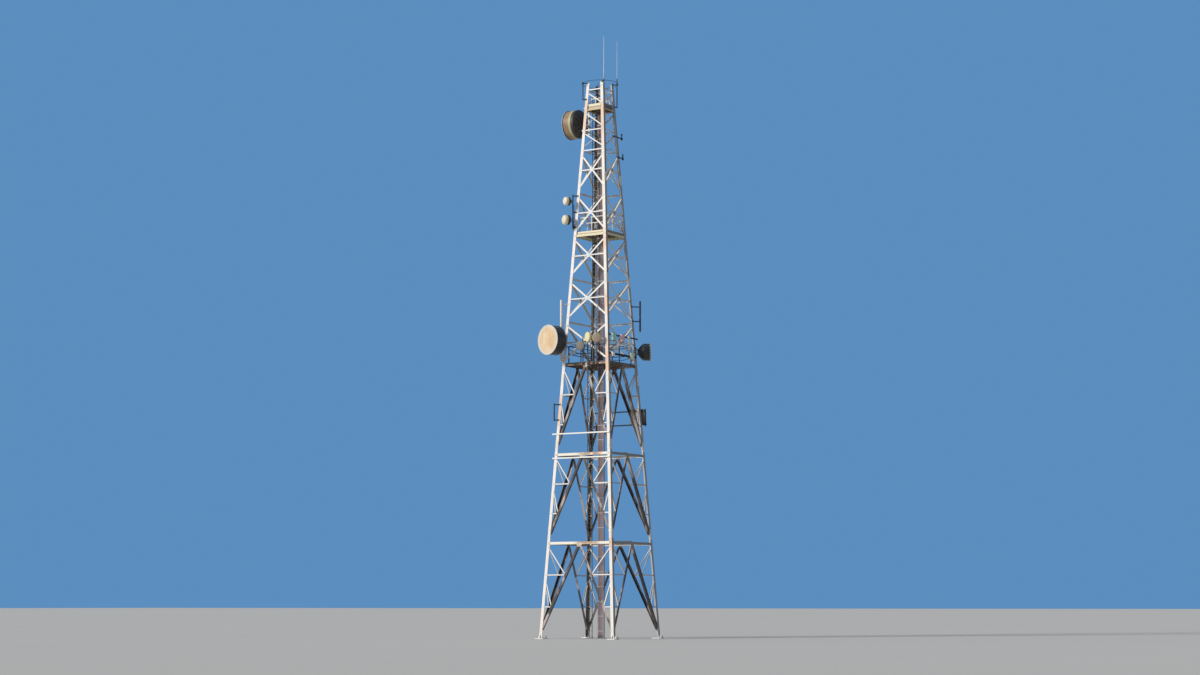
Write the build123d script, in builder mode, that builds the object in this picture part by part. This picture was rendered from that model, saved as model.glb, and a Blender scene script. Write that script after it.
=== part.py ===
"""Radio mast: a square, tapered, self-supporting lattice tower of steel angles
with three platforms, a ladder and cable column, and its dishes and aerials.

Millimetres, +Z up. The origin is on the tower's axis at the level of the
undersides of the four base plates. The front face looks along -Y.
"""

import os
from math import atan2, cos, degrees, hypot, radians, sin, sqrt

from build123d import *

os.makedirs("parts", exist_ok=True)

# Tower outline, heel to heel of the leg angles
base_width = 5380.0
top_width = 1260.0
top_node = 34200.0
ring_height = 34640.0
top_dish_height = 32320.0
top_bar_spread = 1440.0
leg_over = 10.0
leg_end = max(top_node, ring_height, top_dish_height + top_bar_spread / 2) + leg_over
batter = (base_width - top_width) / 2 / top_node
slope = sqrt(1 + batter * batter)

# Panel heights
lower_bays = [5780.0, 5420.0, 5550.0]
cross_bay = 2710.0
cross_bays = 5
top_bay = 1300.0
top_bays = 3

# Leg angles and base plates
leg_flange = 200.0
leg_wall = 20.0
plate_side = 560.0
plate_wall = 40.0
plate_overhang = 170.0
anchor_radius = 21.0
anchor_pitch = 400.0
fin_height = 260.0
fin_reach = 130.0
fin_wall = 16.0

# Bracing angles
brace_wall = 10.0
diagonal_width = 150.0
beam_width = 160.0
main_beam_width = 100.0
cross_width = 100.0
minor_width = 70.0
end_margin = 60.0
cope_gap = 30.0
node_gap = 5.0
foot_rise = 260.0
cross_rise = 200.0
top_rise = 110.0
gusset_wall = 12.0
gusset_width = 400.0
gusset_drop = 230.0

# Platforms
deck_wall = 35.0
deck_edge_gap = 8.0
seat_gap = 0.3
rail_size = 40.0
main_rails = [600.0, 1100.0]
rest_rails = [650.0, 1020.0]
top_rails = [650.0]
rail_inset = 190.0
top_deck_height = 32900.0

# Ladder and cable column
column_y = -100.0
ladder_width = 340.0
ladder_bar = 60.0
ladder_wall = 12.0
rung_size = 22.0
rung_pitch = 300.0
lower_ladder_x = -672.0
upper_ladder_x = -320.0
tray_x = 150.0
tray_width = 480.0
tray_rung = 25.0
tray_wall = 8.0
tray_rung_pitch = 900.0
feeder_size = 46.0
feeder_pitch = 54.0
feeders = 8
upper_ladder_rise = 1000.0
foot_plate_wall = 12.0
foot_plate_width = 1360.0
foot_plate_depth = 420.0
foot_plate_x = -220.0
foot_bolt_radius = 10.0
foot_bolt_margin = 40.0
main_hatch = (-1000.0, -494.0, -760.0)
rest_hatch = (-630.0, -130.0, -760.0)
top_hatch = (-550.0, -130.0, -480.0)
panel_gap = 0.6
toe_height = 120.0
main_toe_height = 50.0
top_toe_height = 300.0
toe_wall = 8.0
toe_inset = 4.0
column_gap = 40.0
column_bar = 60.0

# Guard ring, its poles and the whip aerials
ring_radius = 1150.0
ring_size = 26.0
arm_size = 50.0
ring_pole_radius = 30.0
left_pole_foot = 33600.0
right_pole_foot = 33200.0
left_pole_top = ring_height + 60.0
right_pole_top = ring_height + 360.0
whip_radius = 14.0
whip_base = 450.0
whip_tip = ring_height + 2810.0

# Poles that stand off the legs
pole_radius = 57.0
big_pole_radius = 80.0
collar_wall = 16.0
clamp_height = 120.0
clamp_wall = 12.0
clamp_flange = 120.0
strut_size = 60.0
small_pole_radius = 38.0
big_pole_distance = 2452.0
big_pole_foot = 16990.0
big_pole_top = 20820.0
big_pole_brackets = [17250.0, 19250.0, 20560.0]
right_pole_distance = 2565.0
right_mast_foot = 18950.0
right_mast_top = 20920.0
right_mast_brackets = [19620.0, 20530.0]
small_dish_distance = 1735.0
small_dish_foot = 25340.0
small_dish_top = 27500.0
small_dish_brackets = [25430.0, 26380.0, 27410.0]
low_frame_distance = 2890.0
low_frame_foot = 13300.0
low_frame_top = 14370.0
low_frame_brackets = [13350.0, 14310.0]

# Dishes
hub_height = 40.0
rim_width = 26.0
rim_height = 30.0
shell_wall = 12.0
radome_edge = 20.0
mount_wall = 16.0
mount_arm = 72.0
mount_margin = 130.0
big_dish_radius = 905.0
big_dish_depth = 1050.0
big_bowl = 330.0
big_hub = 160.0
big_crown = 45.0
big_dish_height = 18220.0
big_dish_heading = 15.5
big_dish_stand = 250.0
big_dish_side = 240.0
big_mount_spread = 560.0
top_dish_depth = 1120.0
top_pole_stand = 260.0
top_pole_y = 300.0
top_dish_stand = 335.0
top_mount_spread = 560.0
face_bar_depth = 60.0
face_bar_size = 80.0
mid_dish_radius = 530.0
mid_dish_depth = 740.0
mid_bowl = 330.0
mid_hub = 120.0
mid_crown = 30.0
mid_dish_height = 17670.0
mid_dish_heading = 236.5
mid_pole_y = 1460.0
mid_pole_length = 600.0
mid_bar_length = 260.0
mid_bar_spread = 520.0
mid_dish_stand = 170.0
mid_mount_spread = 300.0
small_bowl = 90.0
small_back = 22.0
small_hub = 60.0
small_crown = 40.0
small_arm = 50.0
dome_reach = 0.55
dome_rise = 0.75

# Bars and aerials on the tower's faces
low_bars = [(10980.0, 120.0), (12480.0, 285.0)]
equipment_bar_heights = [13170.0, 14010.0]
equipment_overhang = 300.0
equipment_pole_offset = 225.0
aerial_bars = [(17310.0, -60.0), (18510.0, 250.0)]
face_pole_gap = 90.0
upper_bar_spans = [(29970.0, 550.0, 1250.0), (31260.0, 150.0, 1250.0)]
upper_bar_pole = 300.0
box_corner = 25.0
equipment_boxes = [
    (-1180.0, 13650.0, 340.0, 1000.0, 220.0),
    (-1530.0, 13650.0, 280.0, 1050.0, 150.0),
    (-1890.0, 13640.0, 340.0, 980.0, 200.0),
]
aerial_boxes = [
    (-1130.0, 18360.0, 420.0, 480.0, 150.0),
    (-120.0, 18370.0, 300.0, 480.0, 150.0),
    (660.0, 18130.0, 180.0, 900.0, 110.0),
    (-1300.0, 17280.0, 260.0, 300.0, 140.0),
    (900.0, 17330.0, 300.0, 480.0, 150.0),
]
platform_poles = {
    "low": (-130.0, 18350.0),
    "bare": (240.0, 18160.0),
    "left": (595.0, 20450.0),
    "right": (885.0, 18800.0),
}
platform_arm_height = 45.0


def half(z):
    """Half the tower's width, heel to heel, at a height."""
    return base_width / 2 - batter * z


lower_levels = [0.0]
for bay in lower_bays:
    lower_levels.append(lower_levels[-1] + bay)
main_level = lower_levels[-1]
cross_levels = [main_level + cross_bay * step for step in range(cross_bays + 1)]
rest_level = cross_levels[3]
top_levels = [cross_levels[-1] + top_bay * step for step in range(top_bays + 1)]

level_beams = list(zip(lower_levels[1:], [beam_width, beam_width, main_beam_width]))
column_bar_seats = [
    (lower_levels[1], beam_width),
    (lower_levels[2], beam_width),
    (top_levels[0], minor_width),
    (top_levels[3], minor_width),
]

faces = {"front": 0.0, "right": 90.0, "back": 180.0, "left": 270.0}
corners = {
    "front_left": (-1, -1),
    "front_right": (1, -1),
    "back_right": (1, 1),
    "back_left": (-1, 1),
}


def finish(piece, name):
    """Label a finished sub-part and write its file."""
    piece.part.label = name
    export_step(piece.part, f"parts/{name}.step")


def face_plane(depth):
    """The front face's sloping plane, a depth in from the legs' outer flanges.

    Its local x runs along the face and its local y up the slope."""
    return Plane(
        origin=(0, depth - base_width / 2, 0), x_dir=(1, 0, 0), z_dir=(0, -1, batter)
    )


def strip(start, end, width, offset):
    """One straight bar in the face: two points as x and height, and a side offset."""
    x0, y0 = start[0], start[1] * slope
    x1, y1 = end[0], end[1] * slope
    length = hypot(x1 - x0, y1 - y0)
    shift_x = -(y1 - y0) / length * offset
    shift_y = (x1 - x0) / length * offset
    with Locations(((x0 + x1) / 2 + shift_x, (y0 + y1) / 2 + shift_y)):
        Rectangle(length, width, rotation=degrees(atan2(y1 - y0, x1 - x0)))


def panel_outline(low, high, margin):
    """The stretch of the face between two heights, a margin in from both heels."""
    points = [
        (-(half(low) - margin), low * slope),
        (half(low) - margin, low * slope),
        (half(high) - margin, high * slope),
        (-(half(high) - margin), high * slope),
    ]
    Polygon(*points, align=None, mode=Mode.INTERSECT)


def half_outline(low, high, margin, hand):
    """One side of the face's middle line between two heights."""
    points = [
        (hand * node_gap, low * slope),
        (hand * (half(low) - margin), low * slope),
        (hand * (half(high) - margin), high * slope),
        (hand * node_gap, high * slope),
    ]
    Polygon(*points, align=None, mode=Mode.INTERSECT)


def add_angles(bars, outline):
    """Steel angles against the inner side of the leg flanges.

    Each bar is (start, end, width, side). Its flat flange lies in the face, and
    its other flange stands inwards along the named side, coped clear of the legs.
    """
    inwards = -face_plane(leg_wall).z_dir
    with BuildSketch(face_plane(leg_wall)) as flats:
        for start, end, width, side in bars:
            strip(start, end, width, 0)
        outline(end_margin)
    extrude(flats.sketch, amount=brace_wall, dir=inwards)
    for size in sorted({bar[2] for bar in bars}):
        with BuildSketch(face_plane(leg_wall).offset(-brace_wall)) as stands:
            for start, end, width, side in bars:
                if width == size:
                    strip(start, end, brace_wall, side * (width - brace_wall) / 2)
            outline(size + cope_gap)
        extrude(stands.sketch, amount=size - brace_wall, dir=inwards)


def truss_bars(low, high, hand):
    """One side of a tall bay: the main diagonal and the small bars behind it."""
    foot = (hand * half(low), low + foot_rise)
    apex = (0.0, high)
    upper = high - (high - low) / 3
    lower = high - (high - low) * 2 / 3

    def on_diagonal(z):
        return (foot[0] * (high - z) / (high - foot[1]), z)

    def on_leg(z):
        return (hand * half(z), z)

    return [
        (foot, apex, diagonal_width, hand),
        (on_leg(upper), on_diagonal(upper), minor_width, -hand),
        (on_leg(lower), on_diagonal(lower), minor_width, -hand),
        (on_leg(high - top_rise), on_diagonal(upper), minor_width, hand),
        (on_leg(upper), on_diagonal(lower), minor_width, hand),
    ]


# Legs: one angle each, heel outwards, tapering inwards as the faces do
def leg_section(corner, z, inset, flange, wall):
    """An angle's outline at a height: heel on the corner, flanges along both faces."""
    sx, sy = corner
    hx = sx * (half(z) - inset)
    hy = sy * (half(z) - inset)
    points = [
        (hx, hy),
        (hx - sx * flange, hy),
        (hx - sx * flange, hy - sy * wall),
        (hx - sx * wall, hy - sy * wall),
        (hx - sx * wall, hy - sy * flange),
        (hx, hy - sy * flange),
    ]
    Polygon(*points, align=None)


def add_leg_angle(corner, low, high, inset, flange, wall):
    """A length of angle that follows one leg between two heights."""
    with BuildSketch(Plane.XY.offset(low)) as foot:
        leg_section(corner, low, inset, flange, wall)
    with BuildSketch(Plane.XY.offset(high)) as head:
        leg_section(corner, high, inset, flange, wall)
    loft([foot.sketch, head.sketch], ruled=True)


for name, corner in corners.items():
    with BuildPart() as leg:
        add_leg_angle(corner, plate_wall, leg_end, 0.0, leg_flange, leg_wall)
    finish(leg, f"{name}_leg")

# Base plates: a drilled plate under each leg, with two upright fins
with BuildPart() as base_plates:
    for sx, sy in corners.values():
        plate_x = sx * (half(0) + plate_overhang - plate_side / 2)
        plate_y = sy * (half(0) + plate_overhang - plate_side / 2)
        with BuildSketch(Plane.XY):
            with Locations((plate_x, plate_y)):
                Rectangle(plate_side, plate_side)
                with GridLocations(anchor_pitch, anchor_pitch, 2, 2):
                    Circle(anchor_radius, mode=Mode.SUBTRACT)
        extrude(amount=plate_wall)
        fin_x = sx * (half(plate_wall) - leg_flange / 2)
        for turned in (False, True):
            profile = [
                (half(plate_wall), plate_wall),
                (half(plate_wall) + fin_reach, plate_wall),
                (half(plate_wall + fin_height), plate_wall + fin_height),
            ]
            if turned:
                fin_plane = Plane(
                    origin=(0, sy * (half(plate_wall) - leg_flange / 2), 0),
                    x_dir=(sx, 0, 0),
                    z_dir=(0, -sx, 0),
                )
            else:
                fin_plane = Plane(origin=(fin_x, 0, 0), x_dir=(0, sy, 0), z_dir=(sy, 0, 0))
            with BuildSketch(fin_plane):
                Polygon(*profile, align=None)
            extrude(amount=fin_wall / 2, both=True)
finish(base_plates, "leg_base_plates")

# Lower bracing: three tall bays to each face, apex up. Level beams between them carry
# gusset plates on their outer side, which the diagonals' heads lie against.
with BuildPart() as lower_front:
    for low, high in zip(lower_levels, lower_levels[1:]):
        bottom = low + beam_width / 2 + node_gap
        top = high - beam_width / 2 - node_gap
        for hand in (-1, 1):
            add_angles(
                truss_bars(low, high, hand),
                lambda margin, b=bottom, t=top, h=hand: half_outline(b, t, margin, h),
            )
with BuildPart() as front_beams:
    for level, width in level_beams:
        beam = [((-half(level), level), (half(level), level), width, 1)]
        add_angles(
            beam,
            lambda margin, z=level: panel_outline(z - beam_width, z + beam_width, margin),
        )
        gusset = [
            (-gusset_width / 2, level * slope + width / 4),
            (-gusset_width / 2, level * slope - width / 2),
            (-gusset_width / 3, level * slope - gusset_drop),
            (gusset_width / 3, level * slope - gusset_drop),
            (gusset_width / 2, level * slope - width / 2),
            (gusset_width / 2, level * slope + width / 4),
        ]
        with BuildSketch(face_plane(leg_wall)):
            Polygon(*gusset, align=None)
        extrude(amount=gusset_wall)
for name, turn in faces.items():
    with BuildPart() as lower_bracing:
        add(lower_front.part, rotation=(0, 0, turn))
    finish(lower_bracing, f"{name}_lower_bracing")
    with BuildPart() as level_beams:
        add(front_beams.part, rotation=(0, 0, turn))
    finish(level_beams, f"{name}_level_beams")


# Upper bracing: crossed bays, then three short bays with one diagonal each
def cross_bars(low, high):
    """A crossed bay with a level bar through the crossing."""
    first, last = low + cross_rise, high - cross_rise
    crossing = first + (last - first) * half(first) / (half(first) + half(last))
    return [
        ((-half(first), first), (half(last), last), cross_width, 1),
        ((half(first), first), (-half(last), last), cross_width, -1),
        ((-half(crossing), crossing), (half(crossing), crossing), minor_width, -1),
    ]


def upper_bars(with_node_bars):
    """All the bars of one face above the main platform."""
    bars = []
    for low, high in zip(cross_levels, cross_levels[1:]):
        bars += cross_bars(low, high)
    for low, high in zip(top_levels, top_levels[1:]):
        foot = low + (top_toe_height if high == top_levels[-1] else top_rise)
        start = (-half(high - top_rise), high - top_rise)
        end = (half(foot), foot)
        bars.append((start, end, minor_width, 1))
    for level in top_levels:
        bars.append(((-half(level), level), (half(level), level), minor_width, 1))
    bars.append(((-half(rest_level), rest_level), (half(rest_level), rest_level), beam_width, 1))
    for level in cross_levels[1:-1] if with_node_bars else []:
        if level != rest_level:
            bars.append(((-half(level), level), (half(level), level), cross_width, 1))
    return bars


upper_parts = {}
for with_node_bars in (False, True):
    with BuildPart() as upper_front:
        add_angles(
            upper_bars(with_node_bars),
            lambda margin: panel_outline(main_level + beam_width, leg_end - top_rise, margin),
        )
    upper_parts[with_node_bars] = upper_front.part
for name, turn in faces.items():
    with BuildPart() as upper_bracing:
        add(upper_parts[name in ("back", "left")], rotation=(0, 0, turn))
    finish(upper_bracing, f"{name}_upper_bracing")


# Platforms: a flat deck on the level beams, with a ladder hatch and a cable slot
def seat_height(level, carrier_width):
    """The height of a level bar's standing flange where it carries something."""
    drop = (brace_wall + deck_edge_gap) * batter
    return level + (carrier_width / 2 - drop) / slope + seat_gap


def deck_panels(reach, hatch):
    """The flat panels of one deck, as x and y limits, round the hatch and cable slot.

    The hatch is its left side, its right side and how far forward it reaches."""
    gap = panel_gap / 2
    left, right, hatch_low = hatch
    slot = (tray_x - tray_width / 2 - column_gap, tray_x + tray_width / 2 + column_gap)
    back = column_y + ladder_bar / 2 + column_gap
    front = column_y - ladder_bar / 2 - feeder_size - column_gap
    panels = [
        (-reach, left - gap, -reach, reach),
        (left + gap, right - gap, -reach, hatch_low),
        (left + gap, right - gap, back, reach),
        (slot[0] + gap, slot[1] - gap, -reach, front),
        (slot[0] + gap, slot[1] - gap, back, reach),
        (slot[1] + gap, reach, -reach, reach),
    ]
    if right < slot[0]:
        panels.append((right + gap, slot[0] - gap, -reach, reach))
    return panels


def add_deck(level, carrier_width, hatch, toe_height):
    """Deck panels on the standing flanges of the level bars, with a toe board each side."""
    seat = seat_height(level, carrier_width)
    deck_top = seat + deck_wall
    reach = half(seat) - leg_wall - brace_wall - deck_edge_gap
    for x0, x1, y0, y1 in deck_panels(reach, hatch):
        with BuildSketch(Plane.XY.offset(seat)) as deck:
            with Locations(((x0 + x1) / 2, (y0 + y1) / 2)):
                Rectangle(x1 - x0, y1 - y0)
        extrude(deck.sketch, amount=deck_wall, dir=(0, 0, 1))
    board_reach = reach - toe_height * batter - toe_inset
    board_length = 2 * (board_reach - toe_wall - panel_gap - leg_flange)
    with BuildSketch(Plane.XY.offset(deck_top + panel_gap)) as board:
        with Locations((0, -board_reach + toe_wall / 2)):
            Rectangle(board_length, toe_wall)
    toe_board = extrude(board.sketch, amount=toe_height, dir=(0, 0, 1), mode=Mode.PRIVATE)
    for turn in faces.values():
        add(toe_board, rotation=(0, 0, turn))
    return deck_top


with BuildPart() as main_deck:
    main_top = add_deck(main_level, main_beam_width, main_hatch, main_toe_height)
finish(main_deck, "main_platform_deck")

with BuildPart() as rest_deck:
    rest_top = add_deck(rest_level, beam_width, rest_hatch, toe_height)
finish(rest_deck, "rest_platform_deck")

with BuildPart() as top_deck:
    top_top = add_deck(top_deck_height, minor_width, top_hatch, top_toe_height)
finish(top_deck, "top_platform_deck")


def add_rail(deck_top, heights, sides):
    """A guard rail along the named sides of a platform: three posts and level rails."""
    reach = half(deck_top + heights[-1]) - rail_inset
    length = 2 * reach - rail_size - 2 * deck_edge_gap
    top = heights[-1] + rail_size / 2
    with BuildSketch(Plane.XZ.offset(reach - rail_size / 2)) as outline:
        with Locations((0, deck_top + top / 2)):
            with GridLocations(length / 2 - rail_size / 2, 0, 3, 1):
                Rectangle(rail_size, top)
        for height in heights:
            with Locations((0, deck_top + height)):
                Rectangle(length, rail_size)
    panel = extrude(outline.sketch, amount=rail_size, dir=(0, -1, 0), mode=Mode.PRIVATE)
    for side in sides:
        add(panel, rotation=(0, 0, faces[side]))


with BuildPart() as main_rail:
    add_rail(main_top, main_rails, faces)
finish(main_rail, "main_platform_rail")

with BuildPart() as upper_rails:
    add_rail(rest_top, rest_rails, faces)
    add_rail(top_top, top_rails, ["front", "right", "back"])
finish(upper_rails, "upper_platform_rails")


# Ladders and cable tray
def add_ladder(centre_x, low, high, width, bar, wall, size, pitch, rung_y):
    """Two upright flats with square rungs between them."""
    with BuildSketch(Plane.XY.offset(low)) as uprights:
        with Locations((centre_x, column_y)):
            with GridLocations(width - wall, 0, 2, 1):
                Rectangle(wall, bar)
    extrude(uprights.sketch, amount=high - low, dir=(0, 0, 1))
    with BuildSketch(Plane.XZ.offset(-rung_y - size / 2)) as rungs:
        for step in range(int((high - low) // pitch)):
            with Locations((centre_x, low + pitch * (step + 0.5))):
                Rectangle(width - wall, size)
    extrude(rungs.sketch, amount=size, dir=(0, -1, 0))


with BuildPart() as lower_ladder:
    add_ladder(
        lower_ladder_x,
        foot_plate_wall,
        main_top + main_rails[-1],
        ladder_width,
        ladder_bar,
        ladder_wall,
        rung_size,
        rung_pitch,
        column_y,
    )
finish(lower_ladder, "lower_ladder")

with BuildPart() as upper_ladder:
    add_ladder(
        upper_ladder_x,
        main_top,
        top_top + upper_ladder_rise,
        ladder_width,
        ladder_bar,
        ladder_wall,
        rung_size,
        rung_pitch,
        column_y,
    )
finish(upper_ladder, "upper_ladder")

with BuildPart() as cable_tray:
    add_ladder(
        tray_x,
        foot_plate_wall,
        leg_end,
        tray_width,
        ladder_bar,
        tray_wall,
        tray_rung,
        tray_rung_pitch,
        column_y - (ladder_bar - tray_rung) / 2,
    )
finish(cable_tray, "cable_tray")

# Foot plate: the ladder and the cable tray stand on it
with BuildPart() as foot_plate:
    with BuildSketch(Plane.XY):
        with Locations((foot_plate_x, column_y)):
            Rectangle(foot_plate_width, foot_plate_depth)
            with GridLocations(
                foot_plate_width - 2 * foot_bolt_margin,
                foot_plate_depth - 2 * foot_bolt_margin,
                2,
                2,
            ):
                Circle(foot_bolt_radius, mode=Mode.SUBTRACT)
    extrude(amount=foot_plate_wall)
finish(foot_plate, "column_foot_plate")

# Column bars: level bars from side to side of the tower, behind the ladder and the tray
with BuildPart() as column_bars:
    for level, carrier_width in column_bar_seats:
        seat = seat_height(level, carrier_width)
        reach = half(seat) - leg_wall - brace_wall - deck_edge_gap
        with BuildSketch(Plane.XY.offset(seat)) as bar_foot:
            with Locations((0, column_y + ladder_bar / 2 + seat_gap + column_bar / 2)):
                Rectangle(2 * reach, column_bar)
        extrude(bar_foot.sketch, amount=column_bar, dir=(0, 0, 1))
finish(column_bars, "column_bars")

# Feeder cables: a flat row of jacketed cables clipped to the tray
with BuildPart() as feeder_cables:
    with BuildSketch(Plane.XY.offset(column_gap)):
        with Locations((tray_x, column_y - ladder_bar / 2 - feeder_size / 2 - seat_gap)):
            with GridLocations(feeder_pitch, 0, feeders, 1):
                RegularPolygon(feeder_size / 2, 6, major_radius=False)
    extrude(amount=top_top - column_gap)
finish(feeder_cables, "feeder_cables")


# Guard ring and the poles and aerials on it
def diagonal_plane(corner, distance, height):
    """A plane across the diagonal through one corner; its normal points outwards."""
    sx, sy = corner
    return Plane(
        origin=(sx * distance / sqrt(2), sy * distance / sqrt(2), height),
        x_dir=(-sy, sx, 0),
        z_dir=(sx, sy, 0),
    )


def leg_distance(height):
    """How far a leg's heel stands from the tower's axis, along the diagonal."""
    return half(height) * sqrt(2)


def add_leg_bracket(corner, height, reach, arm, arm_height):
    """An arm from a leg out to a distance on its diagonal, on an angle over the heel."""
    low, high = height - clamp_height / 2, height + clamp_height / 2
    start = leg_distance(high) - arm
    with BuildSketch(diagonal_plane(corner, start, height)) as arm_end:
        Rectangle(arm, arm_height)
    extrude(arm_end.sketch, amount=reach - start, dir=(corner[0], corner[1], 0))
    with BuildSketch(Plane.XY.offset(low - arm)) as leg_room_foot:
        leg_section(corner, low - arm, 0.0, 2 * leg_flange, 2 * leg_flange)
    with BuildSketch(Plane.XY.offset(high + arm)) as leg_room_head:
        leg_section(corner, high + arm, 0.0, 2 * leg_flange, 2 * leg_flange)
    loft([leg_room_foot.sketch, leg_room_head.sketch], ruled=True, mode=Mode.SUBTRACT)
    add_leg_angle(corner, low, high, -clamp_wall, clamp_flange + clamp_wall, clamp_wall)


def diagonal_point(corner, distance):
    """The x and y of a point on one corner's diagonal."""
    return (corner[0] * distance / sqrt(2), corner[1] * distance / sqrt(2))


def add_pole(place, radius, low, high):
    """A round upright between two heights."""
    with BuildSketch(Plane.XY.offset(low)) as pole_end:
        with Locations(place):
            Circle(radius)
    extrude(pole_end.sketch, amount=high - low, dir=(0, 0, 1))


def cut_pole(place, radius, low, high):
    """Clear the room that a pole needs through what is already there."""
    with BuildSketch(Plane.XY.offset(low)) as bore:
        with Locations(place):
            Circle(radius)
    extrude(bore.sketch, amount=high - low, dir=(0, 0, 1), mode=Mode.SUBTRACT)


ring_pole_distance = ring_radius - ring_size / 2 - ring_pole_radius - collar_wall / 2
with BuildPart() as guard_ring:
    with BuildSketch(Plane.XZ) as ring_section:
        with Locations((ring_radius, ring_height)):
            RegularPolygon(ring_size / 2, 6)
    revolve(axis=Axis.Z)
    for name, corner in corners.items():
        add_leg_bracket(corner, ring_height, ring_radius, arm_size, arm_size)
        place = diagonal_point(corner, ring_pole_distance)
        if name != "back_left":
            low = ring_height - clamp_height / 2
            add_pole(place, ring_pole_radius + collar_wall, low, low + clamp_height)
            cut_pole(place, ring_pole_radius + seat_gap, low, low + clamp_height)
finish(guard_ring, "top_guard_ring")

with BuildPart() as left_ring_pole:
    corner = corners["front_left"]
    place = diagonal_point(corner, ring_pole_distance)
    add_leg_bracket(corner, left_pole_foot, ring_pole_distance, arm_size, arm_size)
    add_pole(place, ring_pole_radius, left_pole_foot - arm_size, left_pole_top)
finish(left_ring_pole, "left_ring_pole")

with BuildPart() as right_ring_pole:
    corner = corners["back_right"]
    place = diagonal_point(corner, ring_pole_distance)
    add_leg_bracket(corner, right_pole_foot, ring_pole_distance, arm_size, arm_size)
    add_pole(place, ring_pole_radius, right_pole_foot - arm_size, right_pole_top)
finish(right_ring_pole, "right_ring_pole")

with BuildPart() as front_whip:
    place = diagonal_point(corners["front_right"], ring_pole_distance)
    add_pole(place, ring_pole_radius, ring_height - 2 * clamp_height, ring_height + whip_base)
    add_pole(place, whip_radius, ring_height + whip_base, whip_tip)
finish(front_whip, "front_whip_aerial")

with BuildPart() as right_whip:
    place = diagonal_point(corners["back_right"], ring_pole_distance)
    add_pole(place, whip_radius, right_pole_top, whip_tip)
finish(right_whip, "right_whip_aerial")


# Poles that stand off a leg
def add_leg_pole(corner, distance, radius, low, high, brackets):
    """A pole beside a leg on its own brackets."""
    place = diagonal_point(corner, distance)
    for height in brackets:
        add_leg_bracket(corner, height, distance, strut_size, strut_size)
    add_pole(place, radius, low, high)


with BuildPart() as front_dish_pole:
    add_leg_pole(
        corners["front_left"],
        big_pole_distance,
        big_pole_radius,
        big_pole_foot,
        big_pole_top,
        big_pole_brackets,
    )
finish(front_dish_pole, "front_dish_pole")

with BuildPart() as right_pole:
    add_leg_pole(
        corners["back_right"],
        right_pole_distance,
        small_pole_radius,
        right_mast_foot,
        right_mast_top,
        right_mast_brackets,
    )
finish(right_pole, "right_side_pole")

with BuildPart() as small_dish_pole:
    add_leg_pole(
        corners["front_left"],
        small_dish_distance,
        small_pole_radius,
        small_dish_foot,
        small_dish_top,
        small_dish_brackets,
    )
finish(small_dish_pole, "small_dish_pole")

with BuildPart() as low_bracket_frame:
    add_leg_pole(
        corners["front_left"],
        low_frame_distance,
        small_pole_radius,
        low_frame_foot,
        low_frame_top,
        low_frame_brackets,
    )
finish(low_bracket_frame, "low_pole_frame")


# Dishes: a drum with a bowl at its back, a radome over its mouth, and a mount
def aim_vector(heading):
    """The level direction of a heading, in degrees from -Y towards -X."""
    return Vector(-sin(radians(heading)), -cos(radians(heading)), 0)


def dish_plane(apex, heading):
    """A plane through a dish's axis: local y is its aim, local x is level."""
    aim = aim_vector(heading)
    level = Vector(-aim.Y, aim.X, 0)
    return Plane(origin=apex, x_dir=level, z_dir=level.cross(aim))


def add_drum(apex, heading, radius, bowl, depth, hub):
    """The bowl, its hub and the drum round it, turned about the aim."""
    flat = bowl * (hub / radius) ** 2
    middle = (hub + radius) / 2
    with BuildSketch(dish_plane(apex, heading)) as profile:
        with BuildLine():
            Polyline((0, -hub_height), (hub, -hub_height), (hub, flat))
            ThreePointArc((hub, flat), (middle, bowl * (middle / radius) ** 2), (radius, bowl))
            Polyline(
                (radius, bowl),
                (radius, depth - rim_height),
                (radius + rim_width, depth - rim_height),
                (radius + rim_width, depth),
                (radius - shell_wall, depth),
                (radius - shell_wall, bowl + shell_wall),
            )
            ThreePointArc(
                (radius - shell_wall, bowl + shell_wall),
                (middle, bowl * (middle / radius) ** 2 + shell_wall),
                (hub, flat + shell_wall),
            )
            Polyline((hub, flat + shell_wall), (0, flat + shell_wall), (0, -hub_height))
        make_face()
    revolve(profile.sketch, axis=Axis(apex, aim_vector(heading)))


def add_radome(apex, heading, radius, depth, crown):
    """A shallow cover that lies on the drum's rim."""
    edge = radius + rim_width
    with BuildSketch(dish_plane(apex, heading)) as profile:
        with BuildLine():
            Polyline(
                (crown, depth + crown),
                (0, depth + crown),
                (0, depth),
                (edge, depth),
                (edge, depth + radome_edge),
            )
            ThreePointArc(
                (edge, depth + radome_edge),
                (edge * dome_reach, depth + radome_edge + (crown - radome_edge) * dome_rise),
                (crown, depth + crown),
            )
        make_face()
    revolve(profile.sketch, axis=Axis(apex, aim_vector(heading)))


def add_block(centre, heading, width, length, height):
    """A level box whose length lies along a heading."""
    aim = aim_vector(heading)
    with BuildSketch(
        Plane(origin=Vector(*centre) - aim * length / 2, x_dir=(-aim.Y, aim.X, 0), z_dir=aim)
    ) as block_end:
        Rectangle(width, height)
    extrude(block_end.sketch, amount=length, dir=aim)


def dish_apex(place, height, heading, stand, side):
    """The bowl's back point: out from a pole along the aim, and off to one side."""
    aim = aim_vector(heading)
    level = Vector(-aim.Y, aim.X, 0)
    return Vector(place[0], place[1], height) + aim * stand + level * side


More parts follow.
